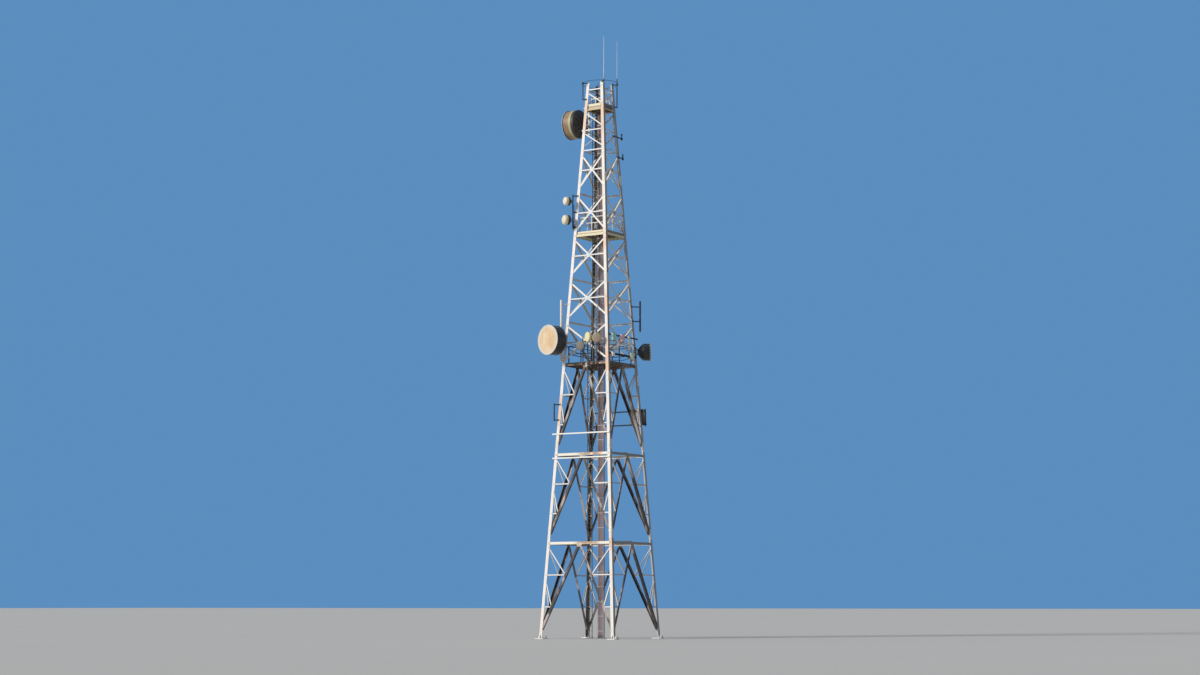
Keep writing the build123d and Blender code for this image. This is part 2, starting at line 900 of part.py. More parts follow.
def add_pole_mount(place, height, heading, stand, side, radius, spread):
    """A back plate on the hub and two arms to split collars round a pole."""
    aim = aim_vector(heading)
    level = Vector(-aim.Y, aim.X, 0)
    axis = Vector(place[0], place[1], height)
    plate_back = stand - hub_height - mount_wall
    centre = axis + aim * (plate_back + mount_wall / 2) + level * side / 2
    plate_width = abs(side) + 2 * mount_margin
    add_block(centre, heading, plate_width, mount_wall, spread + clamp_height)
    for step in (-1, 1):
        middle = axis + Vector(0, 0, step * spread / 2)
        add_block(middle + aim * plate_back / 2, heading, 2 * radius, plate_back, mount_arm)
        low = middle.Z - clamp_height / 2
        add_pole(place, radius + collar_wall, low, low + clamp_height)
    low = height - spread / 2 - clamp_height
    cut_pole(place, radius + seat_gap, low, low + spread + 2 * clamp_height)


big_place = diagonal_point(corners["front_left"], big_pole_distance)
big_apex = dish_apex(big_place, big_dish_height, big_dish_heading, big_dish_stand, big_dish_side)
with BuildPart() as front_dish_drum:
    add_drum(big_apex, big_dish_heading, big_dish_radius, big_bowl, big_dish_depth, big_hub)
finish(front_dish_drum, "front_dish_drum")

with BuildPart() as front_dish_radome:
    add_radome(big_apex, big_dish_heading, big_dish_radius, big_dish_depth, big_crown)
finish(front_dish_radome, "front_dish_radome")

with BuildPart() as front_dish_mount:
    add_pole_mount(
        big_place,
        big_dish_height,
        big_dish_heading,
        big_dish_stand,
        big_dish_side,
        big_pole_radius,
        big_mount_spread,
    )
finish(front_dish_mount, "front_dish_mount")


# Top dish: on an upright between two bars across the left face
def side_bar(turn, height, start, end, depth, size):
    """A level bar on the outside of one face, from x start to x end along it."""
    plane = face_plane(0)
    with BuildSketch(plane) as bar:
        strip((start, height), (end, height), size, 0)
    solid = extrude(bar.sketch, amount=depth, dir=plane.z_dir, mode=Mode.PRIVATE)
    add(solid, rotation=(0, 0, turn))


top_pole_x = -(half(top_dish_height) + top_pole_stand)
top_place = (top_pole_x, top_pole_y)
with BuildPart() as top_dish_pole:
    for step in (-1, 1):
        level = top_dish_height + step * top_bar_spread / 2
        side_bar(270, level, -half(level), half(level), face_bar_depth, face_bar_size)
        reach = -top_pole_x - half(level) - face_bar_depth / 2
        add_block((top_pole_x + reach / 2, top_pole_y, level), 90, strut_size, reach, strut_size)
    low = top_dish_height - top_bar_spread / 2 - clamp_height
    add_pole(top_place, pole_radius, low, low + top_bar_spread + 2 * clamp_height)
finish(top_dish_pole, "top_dish_pole")

top_apex = dish_apex(top_place, top_dish_height, 90, top_dish_stand, 0)
with BuildPart() as top_dish_drum:
    add_drum(top_apex, 90, big_dish_radius, big_bowl, top_dish_depth, big_hub)
finish(top_dish_drum, "top_dish_drum")

with BuildPart() as top_dish_radome:
    add_radome(top_apex, 90, big_dish_radius, top_dish_depth, big_crown)
finish(top_dish_radome, "top_dish_radome")

with BuildPart() as top_dish_mount:
    add_pole_mount(
        top_place, top_dish_height, 90, top_dish_stand, 0, pole_radius, top_mount_spread
    )
finish(top_dish_mount, "top_dish_mount")

# Right dish: a middle-sized one on a short upright, on two bars across the leg's flange
mid_bar_levels = [mid_dish_height - mid_bar_spread / 2, mid_dish_height + mid_bar_spread / 2]
mid_place = (half(mid_bar_levels[0]) + face_bar_depth, mid_pole_y)
mid_apex = dish_apex(mid_place, mid_dish_height, mid_dish_heading, mid_dish_stand, 0)
with BuildPart() as right_dish_pole:
    for level in mid_bar_levels:
        start = mid_pole_y - mid_bar_length / 2
        side_bar(90, level, start, start + mid_bar_length, face_bar_depth, strut_size)
    low = mid_dish_height - mid_pole_length / 2
    add_pole(mid_place, small_pole_radius, low, low + mid_pole_length)
finish(right_dish_pole, "right_dish_pole")

with BuildPart() as right_dish_drum:
    add_drum(mid_apex, mid_dish_heading, mid_dish_radius, mid_bowl, mid_dish_depth, mid_hub)
finish(right_dish_drum, "right_dish_drum")

with BuildPart() as right_dish_radome:
    add_radome(mid_apex, mid_dish_heading, mid_dish_radius, mid_dish_depth, mid_crown)
finish(right_dish_radome, "right_dish_radome")

with BuildPart() as right_dish_mount:
    add_pole_mount(
        mid_place,
        mid_dish_height,
        mid_dish_heading,
        mid_dish_stand,
        0,
        small_pole_radius,
        mid_mount_spread,
    )
finish(right_dish_mount, "right_dish_mount")


# Small dishes: one deep round unit each on a pole
def add_small_dish(place, height, heading, radius, stand, depth):
    """A small shrouded dish with a domed cover and its arm to a collar on a pole."""
    apex = dish_apex(place, height, heading, stand, 0)
    with BuildSketch(dish_plane(apex, heading)) as profile:
        with BuildLine():
            Polyline(
                (0, 0),
                (small_hub, 0),
                (small_hub, small_bowl * (small_hub / radius) ** 2 + small_back),
                (radius, small_bowl + small_back),
                (radius, depth),
            )
            ThreePointArc(
                (radius, depth),
                (radius * dome_reach, depth + small_crown * dome_rise),
                (small_crown, depth + small_crown),
            )
            Polyline((small_crown, depth + small_crown), (0, depth + small_crown), (0, 0))
        make_face()
    revolve(profile.sketch, axis=Axis(apex, aim_vector(heading)))
    aim = aim_vector(heading)
    centre = Vector(place[0], place[1], height) + aim * stand / 2
    add_block(centre, heading, small_arm, stand, small_arm)
    low = height - clamp_height / 2
    add_pole(place, small_pole_radius + collar_wall, low, low + clamp_height)
    cut_pole(place, small_pole_radius + seat_gap, low - clamp_height, low + 2 * clamp_height)


small_place = diagonal_point(corners["front_left"], small_dish_distance)
platform_pole_y = -(half(main_top) + face_pole_gap)
low_place, left_place, right_place = [
    (platform_poles[name][0], platform_pole_y) for name in ("low", "left", "right")
]
small_dishes = {
    "upper_small_dish": (small_place, 27050.0, 30.0, 265.0, 150.0, 460.0),
    "lower_small_dish": (small_place, 25860.0, 30.0, 305.0, 170.0, 510.0),
    "platform_dish_left": (left_place, 18350.0, 26.5, 300.0, 130.0, 260.0),
    "platform_dish_right": (right_place, 18260.0, -33.5, 290.0, 130.0, 260.0),
    "platform_dish_low": (low_place, 17830.0, -8.0, 285.0, 130.0, 260.0),
}
for name, (place, height, heading, radius, stand, depth) in small_dishes.items():
    with BuildPart() as small_dish:
        add_small_dish(place, height, heading, radius, stand, depth)
    finish(small_dish, name)

crossing_level = main_level + cross_rise + (cross_bay - 2 * cross_rise) * half(
    main_level + cross_rise
) / (half(main_level + cross_rise) + half(main_level + cross_bay - cross_rise))
with BuildPart() as dish_poles:
    for pole_x, top in platform_poles.values():
        place = (pole_x, platform_pole_y)
        on_gusset = abs(pole_x) < gusset_width / 2
        for level, depth in (
            (main_level + main_beam_width / 4, leg_wall - (gusset_wall * slope if on_gusset else 0)),
            (crossing_level, leg_wall),
        ):
            reach = depth - platform_pole_y - half(level)
            with BuildSketch(face_plane(depth)) as arm_end:
                strip(
                    (pole_x - strut_size / 2, level),
                    (pole_x + strut_size / 2, level),
                    platform_arm_height,
                    0,
                )
            extrude(arm_end.sketch, amount=reach, dir=face_plane(0).z_dir)
        add_pole(place, small_pole_radius, main_level - strut_size, top)
finish(dish_poles, "platform_dish_poles")

# Bars that carry aerials across the faces
with BuildPart() as mounting_bars:
    for level, overhang in low_bars:
        side_bar(0, level, -half(level) - overhang, half(level), face_bar_depth, face_bar_size)
finish(mounting_bars, "front_mounting_bars")

with BuildPart() as equipment_frame:
    for level in equipment_bar_heights:
        start = -half(level) - equipment_overhang
        side_bar(180, level, start, half(level), face_bar_depth, face_bar_size)
    low, high = equipment_bar_heights
    place = (half(low) + equipment_pole_offset, half(high) + face_bar_depth)
    add_pole(place, small_pole_radius, low - clamp_height, high + clamp_height)
finish(equipment_frame, "equipment_frame")


def face_boxes(turn, boxes):
    """Flat-backed units on the bars of one face: along it, height and sizes."""
    plane = face_plane(0).offset(face_bar_depth)
    for along, height, width, tall, deep in boxes:
        with BuildSketch(plane) as back:
            with Locations((along, height * slope)):
                RectangleRounded(width, tall, box_corner)
        solid = extrude(back.sketch, amount=deep, dir=plane.z_dir, mode=Mode.PRIVATE)
        add(solid, rotation=(0, 0, turn))


with BuildPart() as equipment_units:
    face_boxes(180, equipment_boxes)
finish(equipment_units, "equipment_units")

with BuildPart() as panel_aerials:
    face_boxes(90, aerial_boxes)
finish(panel_aerials, "panel_aerials")

with BuildPart() as aerial_frame:
    for level, overhang in aerial_bars:
        side_bar(90, level, -half(level), half(level) + overhang, face_bar_depth, face_bar_size)
finish(aerial_frame, "right_aerial_frame")

with BuildPart() as upper_right_bars:
    for level, start, end in upper_bar_spans:
        side_bar(90, level, start, end, face_bar_depth, strut_size)
        place = (half(level) + face_bar_depth, end - strut_size)
        add_pole(place, ring_pole_radius, level - clamp_height, level + upper_bar_pole)
finish(upper_right_bars, "upper_right_bars")
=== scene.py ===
"""Looks of a lattice radio mast: weathered steel, gratings, cables, dishes and aerials."""

import math
import random

import bpy
from mathutils import Matrix, Vector


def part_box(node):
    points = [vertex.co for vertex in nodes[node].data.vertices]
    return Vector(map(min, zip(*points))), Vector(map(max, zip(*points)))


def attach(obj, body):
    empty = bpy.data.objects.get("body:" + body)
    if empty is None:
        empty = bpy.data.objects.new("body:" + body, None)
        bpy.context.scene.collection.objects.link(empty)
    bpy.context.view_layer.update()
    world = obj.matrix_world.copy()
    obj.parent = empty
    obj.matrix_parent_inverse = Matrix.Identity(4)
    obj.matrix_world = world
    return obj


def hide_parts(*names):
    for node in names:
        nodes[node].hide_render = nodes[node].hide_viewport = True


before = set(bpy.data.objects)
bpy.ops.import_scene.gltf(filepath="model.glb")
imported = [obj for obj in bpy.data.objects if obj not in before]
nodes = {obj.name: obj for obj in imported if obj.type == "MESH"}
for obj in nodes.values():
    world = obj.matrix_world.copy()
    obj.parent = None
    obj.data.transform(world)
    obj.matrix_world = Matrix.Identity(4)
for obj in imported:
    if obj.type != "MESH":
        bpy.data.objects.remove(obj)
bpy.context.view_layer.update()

# Tower outline in metres, heel to heel of the leg angles
BASE_WIDTH = 5.38
TOP_WIDTH = 1.26
TOP_NODE = 34.2
BATTER = (BASE_WIDTH - TOP_WIDTH) / 2 / TOP_NODE
SLOPE = math.hypot(1, BATTER)
LOWER_LEVELS = (0.0, 5.78, 11.2, 16.75)
CROSS_LEVELS = tuple(16.75 + 2.71 * step for step in range(6))
TOP_LEVELS = tuple(30.3 + 1.3 * step for step in range(4))
REST_LEVEL = 24.88
LEG_CORNERS = {
    "front_left": (-1, -1), "front_right": (1, -1), "back_right": (1, 1), "back_left": (-1, 1)
}

# Steel sizes
LEG_WALL = 0.02
LEG_FLANGE = 0.2
BRACE_WALL = 0.01
LAP = LEG_WALL + BRACE_WALL
DIAGONAL_WIDTH = 0.15
BEAM_WIDTH = 0.16
BROAD_BAR = 0.1
SLIM_BAR = 0.07
FOOT_RISE = 0.26
CROSS_RISE = 0.2
TOP_RISE = 0.11
CROSS_PLATE_WALL = 0.008
GUSSET_WALL = 0.012
SPLICE_WALL = 0.012
DECK_WALL = 0.035
DISH_POLE_RADIUS = 0.038

# Places of anchors, of the platforms' cable slot and bars, and of the feeder clamps
FOOT_REACH = 2.58
ANCHOR_SPREAD = 0.2
COLUMN_FOOT = (-0.22, -0.1, 0.64, 0.17)
CABLE_SLOT = (-0.13, 0.43, -0.216)
SLOT_BACK = -0.03
BEARING_PITCH = 0.034
ROD_PITCH = 0.1
FIRST_CLAMP = 0.422
CLAMP_PITCH = 0.9

X_AXIS = Vector((1, 0, 0))
Y_AXIS = Vector((0, 1, 0))
UP = Vector((0, 0, 1))
LEVEL_PLANE = (X_AXIS, Y_AXIS)


def half(z):
    """Half the tower's width, heel to heel, at a height."""
    return BASE_WIDTH / 2 - BATTER * z


def bays(levels):
    """The low and high level of each bay."""
    return zip(levels, levels[1:])


def node_box(node):
    """The low and high corner of one solid's box."""
    return (Vector(corner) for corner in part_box(node))


# Shader maths
class Value:
    """One output of a shader node, for arithmetic with numbers and other values."""

    def __init__(self, graph, socket):
        self.graph = graph
        self.socket = socket

    def __add__(self, other):
        return self.graph.math("ADD", self, other)

    __radd__ = __add__

    def __sub__(self, other):
        return self.graph.math("SUBTRACT", self, other)

    def __rsub__(self, other):
        return self.graph.math("SUBTRACT", other, self)

    def __mul__(self, other):
        return self.graph.math("MULTIPLY", self, other)

    __rmul__ = __mul__

    def __truediv__(self, other):
        return self.graph.math("DIVIDE", self, other)

    def __rtruediv__(self, other):
        return self.graph.math("DIVIDE", other, self)

    def __abs__(self):
        return self.graph.math("ABSOLUTE", self)

    def between(self, low, high):
        """0 below low, 1 above high, smooth in between."""
        sockets = {"Value": self, "From Min": low, "From Max": high}
        return self.graph.node("ShaderNodeMapRange", {"interpolation_type": "SMOOTHSTEP"}, sockets)

    def below(self, low, high):
        """1 below low, 0 above high."""
        return 1 - self.between(low, high)

    def inside(self, low, high, soft):
        """1 from low to high, with soft ends."""
        return self.between(low, low + soft) * self.below(high - soft, high)


class Graph:
    """The node tree of a material or a world under construction."""

    def __init__(self, owner):
        owner.use_nodes = True
        self.tree = owner.node_tree
        self.tree.nodes.clear()

    def node(self, kind, settings=None, inputs=None, output=0):
        """One node: its settings first, then the values or links of its sockets."""
        made = self.tree.nodes.new(kind)
        for key, setting in (settings or {}).items():
            setattr(made, key, setting)
        for key, value in (inputs or {}).items():
            if isinstance(value, Value):
                self.tree.links.new(value.socket, made.inputs[key])
            else:
                made.inputs[key].default_value = value
        return Value(self, made.outputs[output]) if made.outputs else made

    def math(self, operation, *inputs):
        return self.node("ShaderNodeMath", {"operation": operation}, dict(enumerate(inputs)))


class Finish(Graph):
    """A material under construction."""

    def __init__(self, name):
        self.material = bpy.data.materials.new(name)
        super().__init__(self.material)
        self.place = self.node("ShaderNodeTexCoord", output="Object")

    def stretched(self, across, upward):
        """The object's own coordinates, scaled across and upward."""
        scale = {0: self.place, 1: (across, across, upward)}
        return self.node("ShaderNodeVectorMath", {"operation": "MULTIPLY"}, scale)

    def noise(self, across, upward, detail=3.0, roughness=0.5):
        """Cloudy noise from 0 to 1; the scales are per metre, across and upward."""
        sockets = {"Vector": self.stretched(across, upward), "Scale": 1.0}
        sockets.update({"Detail": detail, "Roughness": roughness})
        return self.node("ShaderNodeTexNoise", inputs=sockets)

    def cells(self, across, upward):
        """Random value of each crystal of a cell pattern."""
        sockets = {"Vector": self.stretched(across, upward), "Scale": 1.0}
        cell = self.node("ShaderNodeTexVoronoi", inputs=sockets, output="Color")
        return self.node("ShaderNodeSeparateColor", inputs={0: cell})

    def axis(self, letter):
        """One of the object's own coordinates."""
        return self.node("ShaderNodeSeparateXYZ", inputs={0: self.place}, output=letter)

    def facing(self, letter):
        """One part of the surface's own direction."""
        normal = self.node("ShaderNodeNewGeometry", output="Normal")
        return self.node("ShaderNodeSeparateXYZ", inputs={0: normal}, output=letter)

    def mix(self, factor, first, second, blend="MIX"):
        """Two colours mixed."""
        sockets = {0: factor, 6: as_colour(first), 7: as_colour(second)}
        return self.node("ShaderNodeMix", {"data_type": "RGBA", "blend_type": blend}, sockets, 2)

    def coat(self, colour, *coats):
        """Lays each coat's paint over a colour, by its share."""
        for share, paint in coats:
            colour = self.mix(share, colour, paint)
        return colour

    def bump(self, height, distance, strength):
        """Fine relief from a height, in metres."""
        sockets = {"Height": height, "Distance": distance, "Strength": strength}
        return self.node("ShaderNodeBump", inputs=sockets)

    def surface(self, **sockets):
        """Ends the material with one shader; underscores stand for spaces."""
        inputs = {key.replace("_", " "): as_colour(value) for key, value in sockets.items()}
        shader = self.node("ShaderNodeBsdfPrincipled", inputs=inputs)
        self.node("ShaderNodeOutputMaterial", inputs={"Surface": shader})
        return self.material


def as_colour(value):
    return (*value, 1.0) if isinstance(value, tuple) and len(value) == 3 else value


def weathered_steel(
    name, base, grime=0.5, rust=0.5, sheen=0.1, mottle=0.5, shade_side_paint=0.0, zones=()
):
    """Outdoor steel: zinc crystals or old paint, run-off streaks, painted shade and duller metal on
    undersides, rust.

    Painted shade darkens the +X side, away from the key light; each zone lays its paint where its
    mask says.
    """
    finish = Finish(name)
    patches = finish.noise(0.45, 0.3, 4.0)
    crystals = finish.cells(38.0, 26.0)
    tone = 0.86 + patches * 0.2 + (crystals - 0.5) * (0.1 * mottle)
    for mask, paint in zones:
        base = finish.mix(mask(finish), base, paint(finish) if callable(paint) else paint)
    shade = finish.node("ShaderNodeCombineColor", inputs={0: tone, 1: tone, 2: tone})
    colour = finish.mix(1.0, base, shade, "MULTIPLY")
    # Painted shade: the side facing +X, away from the key light, is darkened towards near-black.
    if shade_side_paint:
        shade_side_mask = finish.facing("X").between(0.2, 0.8) * (0.75 + patches * 0.5)
        colour = finish.mix(shade_side_mask * shade_side_paint, colour, (0.07, 0.072, 0.066))
    streaks = finish.noise(9.0, 0.55, 4.0, 0.6).between(0.5, 0.72)
    clouds = finish.noise(1.3, 0.8).between(0.42, 0.7)
    dirty = streaks * clouds * grime
    # Painted shade: surfaces facing down are darkened towards grey-brown, more where grime is
    # higher, and their metal is duller.
    under = finish.facing("Z").below(-0.95, -0.2)
    spots = finish.noise(3.1, 1.4, 5.0, 0.65).between(0.66, 0.74)
    fine = finish.noise(46.0, 22.0).between(0.42, 0.62)
    rusty = spots * fine * rust
    colour = finish.coat(
        colour,
        (dirty * 0.55, (0.27, 0.25, 0.22)),
        (under * (0.35 * grime + 0.1), (0.2, 0.19, 0.18)),
        (rusty, finish.mix(fine, (0.22, 0.075, 0.028), (0.42, 0.17, 0.06))),
    )
    relief = finish.noise(120.0, 120.0, 2.0) * 0.4 + rusty * 1.2 + crystals * 0.1
    return finish.surface(
        Base_Color=colour,
        Roughness=0.5 + patches * 0.16 + dirty * 0.2 + rusty * 0.2,
        Metallic=sheen * (1 - rusty) * (1 - under * 0.5),
        Normal=finish.bump(relief, 0.0015, 0.6),
    )


def faint_chalk(finish):
    return finish.noise(1.6, 1.1, 4.0)


def sheet_runs(finish):
    """Run-off marks on a sheet."""
    return finish.noise(14.0, 0.9, 4.0, 0.62).between(0.52, 0.74)


def sheet_surface(finish, colour, roughness, chalk):
    """Ends the finish of a painted or moulded sheet."""
    relief = finish.noise(40.0, 40.0, 2.0) * 0.5 + chalk
    return finish.surface(
        Base_Color=colour, Roughness=roughness, Normal=finish.bump(relief, 0.0012, 0.5)
    )


def painted_shell(name, base, shade, grime=0.5, gloss=0.4):
    """Painted or moulded sheet: faint chalking, run-off below the top, dust in patches."""
    finish = Finish(name)
    chalk = faint_chalk(finish)
    runs = sheet_runs(finish)
    specks = finish.noise(60.0, 60.0, 2.0).between(0.62, 0.72)
    colour = finish.coat(
        base, (chalk.between(0.3, 0.75), shade), (runs * (0.4 * grime), (0.2, 0.18, 0.15)),
        (specks * (0.25 * grime), (0.3, 0.27, 0.22)),
    )
    return sheet_surface(finish, colour, gloss + chalk * 0.2 + runs * 0.15, chalk)


def cable_jacket(name, base, shade):
    """Corrugated cable under a plastic jacket, dusty, and faded lower down."""
    finish = Finish(name)
    bleach = finish.noise(5.0, 0.4).between(0.35, 0.7)
    height = finish.axis("Z")
    dust = finish.noise(30.0, 3.0).between(0.5, 0.7)
    colour = finish.coat(
        base, (bleach, shade), (height.below(9.0, 17.0) * 0.45, (0.33, 0.28, 0.33)),
        (dust * 0.35, (0.25, 0.22, 0.2)),
    )
    rings = finish.math("SINE", height * 520.0)
    return finish.surface(
        Base_Color=colour,
        Roughness=0.52 + dust * 0.25,
        Normal=finish.bump(rings * 0.5 + dust * 0.3, 0.0012, 0.6),
    )


# Masks and paints of the zones
def on_main_diagonal(finish):
    """1 on the long diagonals of the tall bays, on any face."""
    x, y, height = (finish.axis(letter) for letter in "XYZ")
    along = finish.math("MINIMUM", abs(x), abs(y))
    line = 0.0
    for low, high in bays(LOWER_LEVELS):
        inside = finish.math("GREATER_THAN", height, low) * finish.math("LESS_THAN", height, high)
        line = line + inside * (high - height) * (half(low) / (high - low - FOOT_RISE))
    return abs(along - line).below(0.09, 0.1)


def patchy_dark(finish):
    """Near-black, with pale stretches and brown patches."""
    pale_stretches = finish.noise(1.1, 0.5).between(0.5, 0.6)
    brown_patches = finish.noise(1.7, 0.9, 4.0).between(0.52, 0.62)
    dark = finish.mix(brown_patches, (0.032, 0.03, 0.032), (0.12, 0.07, 0.05))
    return finish.mix(pale_stretches * 0.85, dark, (0.47, 0.42, 0.41))


def under_main_platform(finish):
    """1 from the beams of the main platform upwards."""
    return finish.axis("Z").between(16.3, 16.4)


def rust_and_deck_shade(finish):
    """A dark brown beam: rust, with painted shade of the deck above, and a few pale stretches left.
    """
    pale = finish.noise(1.6, 2.4).between(0.55, 0.62)
    brown = finish.mix(finish.noise(2.3, 4.0, 4.0), (0.05, 0.035, 0.03), (0.3, 0.15, 0.08))
    return finish.mix(pale * 0.85, brown, (0.66, 0.6, 0.52))


def height_bands(*bands, share=0.8):
    """A mask of cloudy patches inside bands of height."""
    def mask(finish):
        height = finish.axis("Z")
        inside = sum(height.inside(low, high, 0.6) for low, high in bands)
        return inside * finish.noise(1.4, 0.5, 4.0).between(0.36, 0.6) * share
    return mask


def level_band(low, high):
    """A mask over one short stretch of height."""
    return lambda finish: finish.axis("Z").inside(low, high, 0.02)


def stained_middle(finish):
    """Run-off stains on the lower beams beside the cable column."""
    x = finish.axis("X")
    clouds = finish.noise(2.6, 5.0, 4.0).between(0.32, 0.5)
    return x.between(-0.6, 0.2) * x.below(1.0, 1.6) * clouds * 0.85


def toe_board_shade(finish):
    """The shaded strip between the lips of the top platform's deep toe board."""
    height = finish.axis("Z")
    return height.between(33.0, 33.03) * height.below(33.1, 33.15) * 0.8


# Finishes
PALE = (0.76, 0.75, 0.73)
PEACH = (0.72, 0.47, 0.31)
pale_steel = weathered_steel("pale_weathered_steel", PALE, 0.55, 0.5, 0.08, shade_side_paint=0.1)
upper_bracing_steel = weathered_steel(
    "upper_bracing_steel", PALE, 0.55, 0.5, 0.06, shade_side_paint=0.1,
    zones=[
        (level_band(24.76, 25.0), (0.68, 0.63, 0.43)),
        (level_band(32.85, 33.0), (0.66, 0.5, 0.28)),
    ],
)
left_leg_steel = weathered_steel(
    "left_leg_steel", (0.78, 0.745, 0.73), 0.5, 0.5, 0.06, shade_side_paint=0.45,
    zones=[(height_bands((31.2, 34.0), (22.8, 25.0), (12.6, 15.2)), PEACH)],
)
right_leg_steel = weathered_steel(
    "right_leg_steel", (0.75, 0.73, 0.7), 0.55, 0.5, 0.06, shade_side_paint=0.65,
    zones=[(height_bands((15.5, 21.8), (23.6, 25.6), (30.4, 33.6), (5.0, 6.6)), PEACH)],
)
# Painted shade: the back right leg is the same steel, given a darker blue-grey that stands in for
# its shade.
shaded_far_leg_steel = weathered_steel("shaded_far_leg_steel", (0.45, 0.47, 0.5), 0.6, 0.5, 0.1, shade_side_paint=0.35)
# Painted shade: the back left leg is the same steel, made near-black for the shade it is seen in,
# with pale bands.
shaded_back_left_leg_steel = weathered_steel(
    "shaded_back_left_leg_steel", (0.13, 0.125, 0.12), 0.5, 0.7, 0.1,
    zones=[(height_bands((18.0, 20.2), (26.0, 28.0), share=0.9), (0.6, 0.58, 0.55))],
)
lower_bracing_steel = weathered_steel(
    "lower_bracing_steel", (0.7, 0.69, 0.68), 0.6, 0.7, 0.06, shade_side_paint=0.4,
    zones=[(on_main_diagonal, patchy_dark)],
)
front_beam_steel = weathered_steel(
    "front_beam_steel", (0.78, 0.74, 0.66), 0.5, 0.8, 0.05,
    zones=[(stained_middle, (0.36, 0.2, 0.09)), (under_main_platform, rust_and_deck_shade)],
)
beam_steel = weathered_steel(
    "level_beam_steel", (0.72, 0.71, 0.69), 0.6, 0.8, 0.05, shade_side_paint=0.7,
    zones=[(under_main_platform, rust_and_deck_shade)],
)
cream_steel = weathered_steel(
    "cream_painted_steel", (0.76, 0.69, 0.5), 0.6, 0.5, 0.05, shade_side_paint=0.8,
    zones=[(toe_board_shade, (0.25, 0.22, 0.16))],
)
grey_steel = weathered_steel("grey_zinc_steel", (0.4, 0.4, 0.39), 0.8, 0.6, 0.25, 0.9)
dark_steel = weathered_steel("dark_zinc_steel", (0.09, 0.085, 0.082), 0.5, 0.6, 0.15, 0.8)
# Near-black steel for the thin poles, guard ring, rail and frames.
black_steel = weathered_steel("near_black_steel", (0.02, 0.02, 0.022), 0.12, 0.2, 0.0, 0.6)
bolt_steel = weathered_steel("zinc_bolts", (0.5, 0.5, 0.49), 0.9, 0.9, 0.5, 0.6)
grating_steel = weathered_steel("rusty_grating", (0.2, 0.145, 0.105), 1.0, 1.0, 0.15, 0.6)
# Partly painted shade: a dark grey shroud paint made near-black for the shade on the drums, dish
# backs and small dish shells.
shaded_dark_shroud = painted_shell(
    "dark_shroud_paint_and_shade", (0.018, 0.019, 0.022), (0.042, 0.043, 0.047), 0.5, 0.27
)
radome_white = painted_shell("white_radome_sheet", (0.8, 0.75, 0.6), (0.7, 0.65, 0.5), 0.7, 0.45)
radome_yellow = painted_shell("pale_yellow_sheet", (0.76, 0.72, 0.42), (0.64, 0.6, 0.36), 0.6, 0.5)
radome_beige = painted_shell("beige_sheet", (0.42, 0.35, 0.25), (0.33, 0.27, 0.2), 0.7, 0.5)
radome_grey = painted_shell("grey_radome_sheet", (0.15, 0.15, 0.145), (0.2, 0.2, 0.19), 0.6, 0.5)
aerial_white = painted_shell("white_glass_fibre", (0.78, 0.78, 0.75), (0.7, 0.7, 0.66), 0.5, 0.35)
aerial_teal = painted_shell("faded_teal_fibre", (0.33, 0.62, 0.6), (0.45, 0.68, 0.66), 0.5, 0.45)
aerial_pink = painted_shell("faded_pink_fibre", (0.7, 0.42, 0.5), (0.76, 0.55, 0.6), 0.5, 0.45)
aerial_green = painted_shell("faded_green_fibre", (0.62, 0.8, 0.68), (0.74, 0.84, 0.77), 0.5, 0.45)
case_grey = painted_shell("grey_equipment_paint", (0.52, 0.52, 0.5), (0.45, 0.45, 0.44), 0.6, 0.45)
case_dark = painted_shell("dark_equipment_paint", (0.12, 0.12, 0.125), (0.17, 0.17, 0.17), 0.6, 0.5)
case_rose = painted_shell("faded_red_paint", (0.5, 0.27, 0.23), (0.42, 0.24, 0.21), 0.7, 0.5)
jackets = [
    cable_jacket("black_jacket", (0.045, 0.036, 0.038), (0.09, 0.07, 0.072)),
    cable_jacket("brown_jacket", (0.16, 0.115, 0.12), (0.24, 0.18, 0.185)),
    cable_jacket("grey_jacket", (0.26, 0.21, 0.23), (0.34, 0.285, 0.3)),
]


def radome_sheet():
    """The big covers: faded cloth with ochre stains, and a painted pale grey sheen towards the rim.
    """
    finish = Finish("cream_radome_sheet")
    chalk = faint_chalk(finish)
    runs = finish.noise(7.0, 0.5, 4.0, 0.62).between(0.5, 0.74)
    reach = 9.0
    for dish in DISHES.values():
        centre = dish.apex + dish.aim * dish.depth
        gap = finish.node(
            "ShaderNodeVectorMath", {"operation": "DISTANCE"},
            {0: finish.place, 1: tuple(centre)}, output="Value",
        )
        reach = finish.math("MINIMUM", gap / dish.radius, reach)
    # Painted sheen: the cloth turns pale blue-grey near each cover's rim, standing in for the sky's
    # glint on the curve.
    cloth = finish.coat(
        (0.62, 0.44, 0.26), (chalk.between(0.35, 0.7), (0.72, 0.58, 0.4)),
        (reach.between(0.72, 0.98) * 0.75, (0.6, 0.62, 0.58)), (runs * 0.3, (0.3, 0.21, 0.13)),
    )
    return sheet_surface(finish, cloth, 0.55 + chalk * 0.2, chalk)


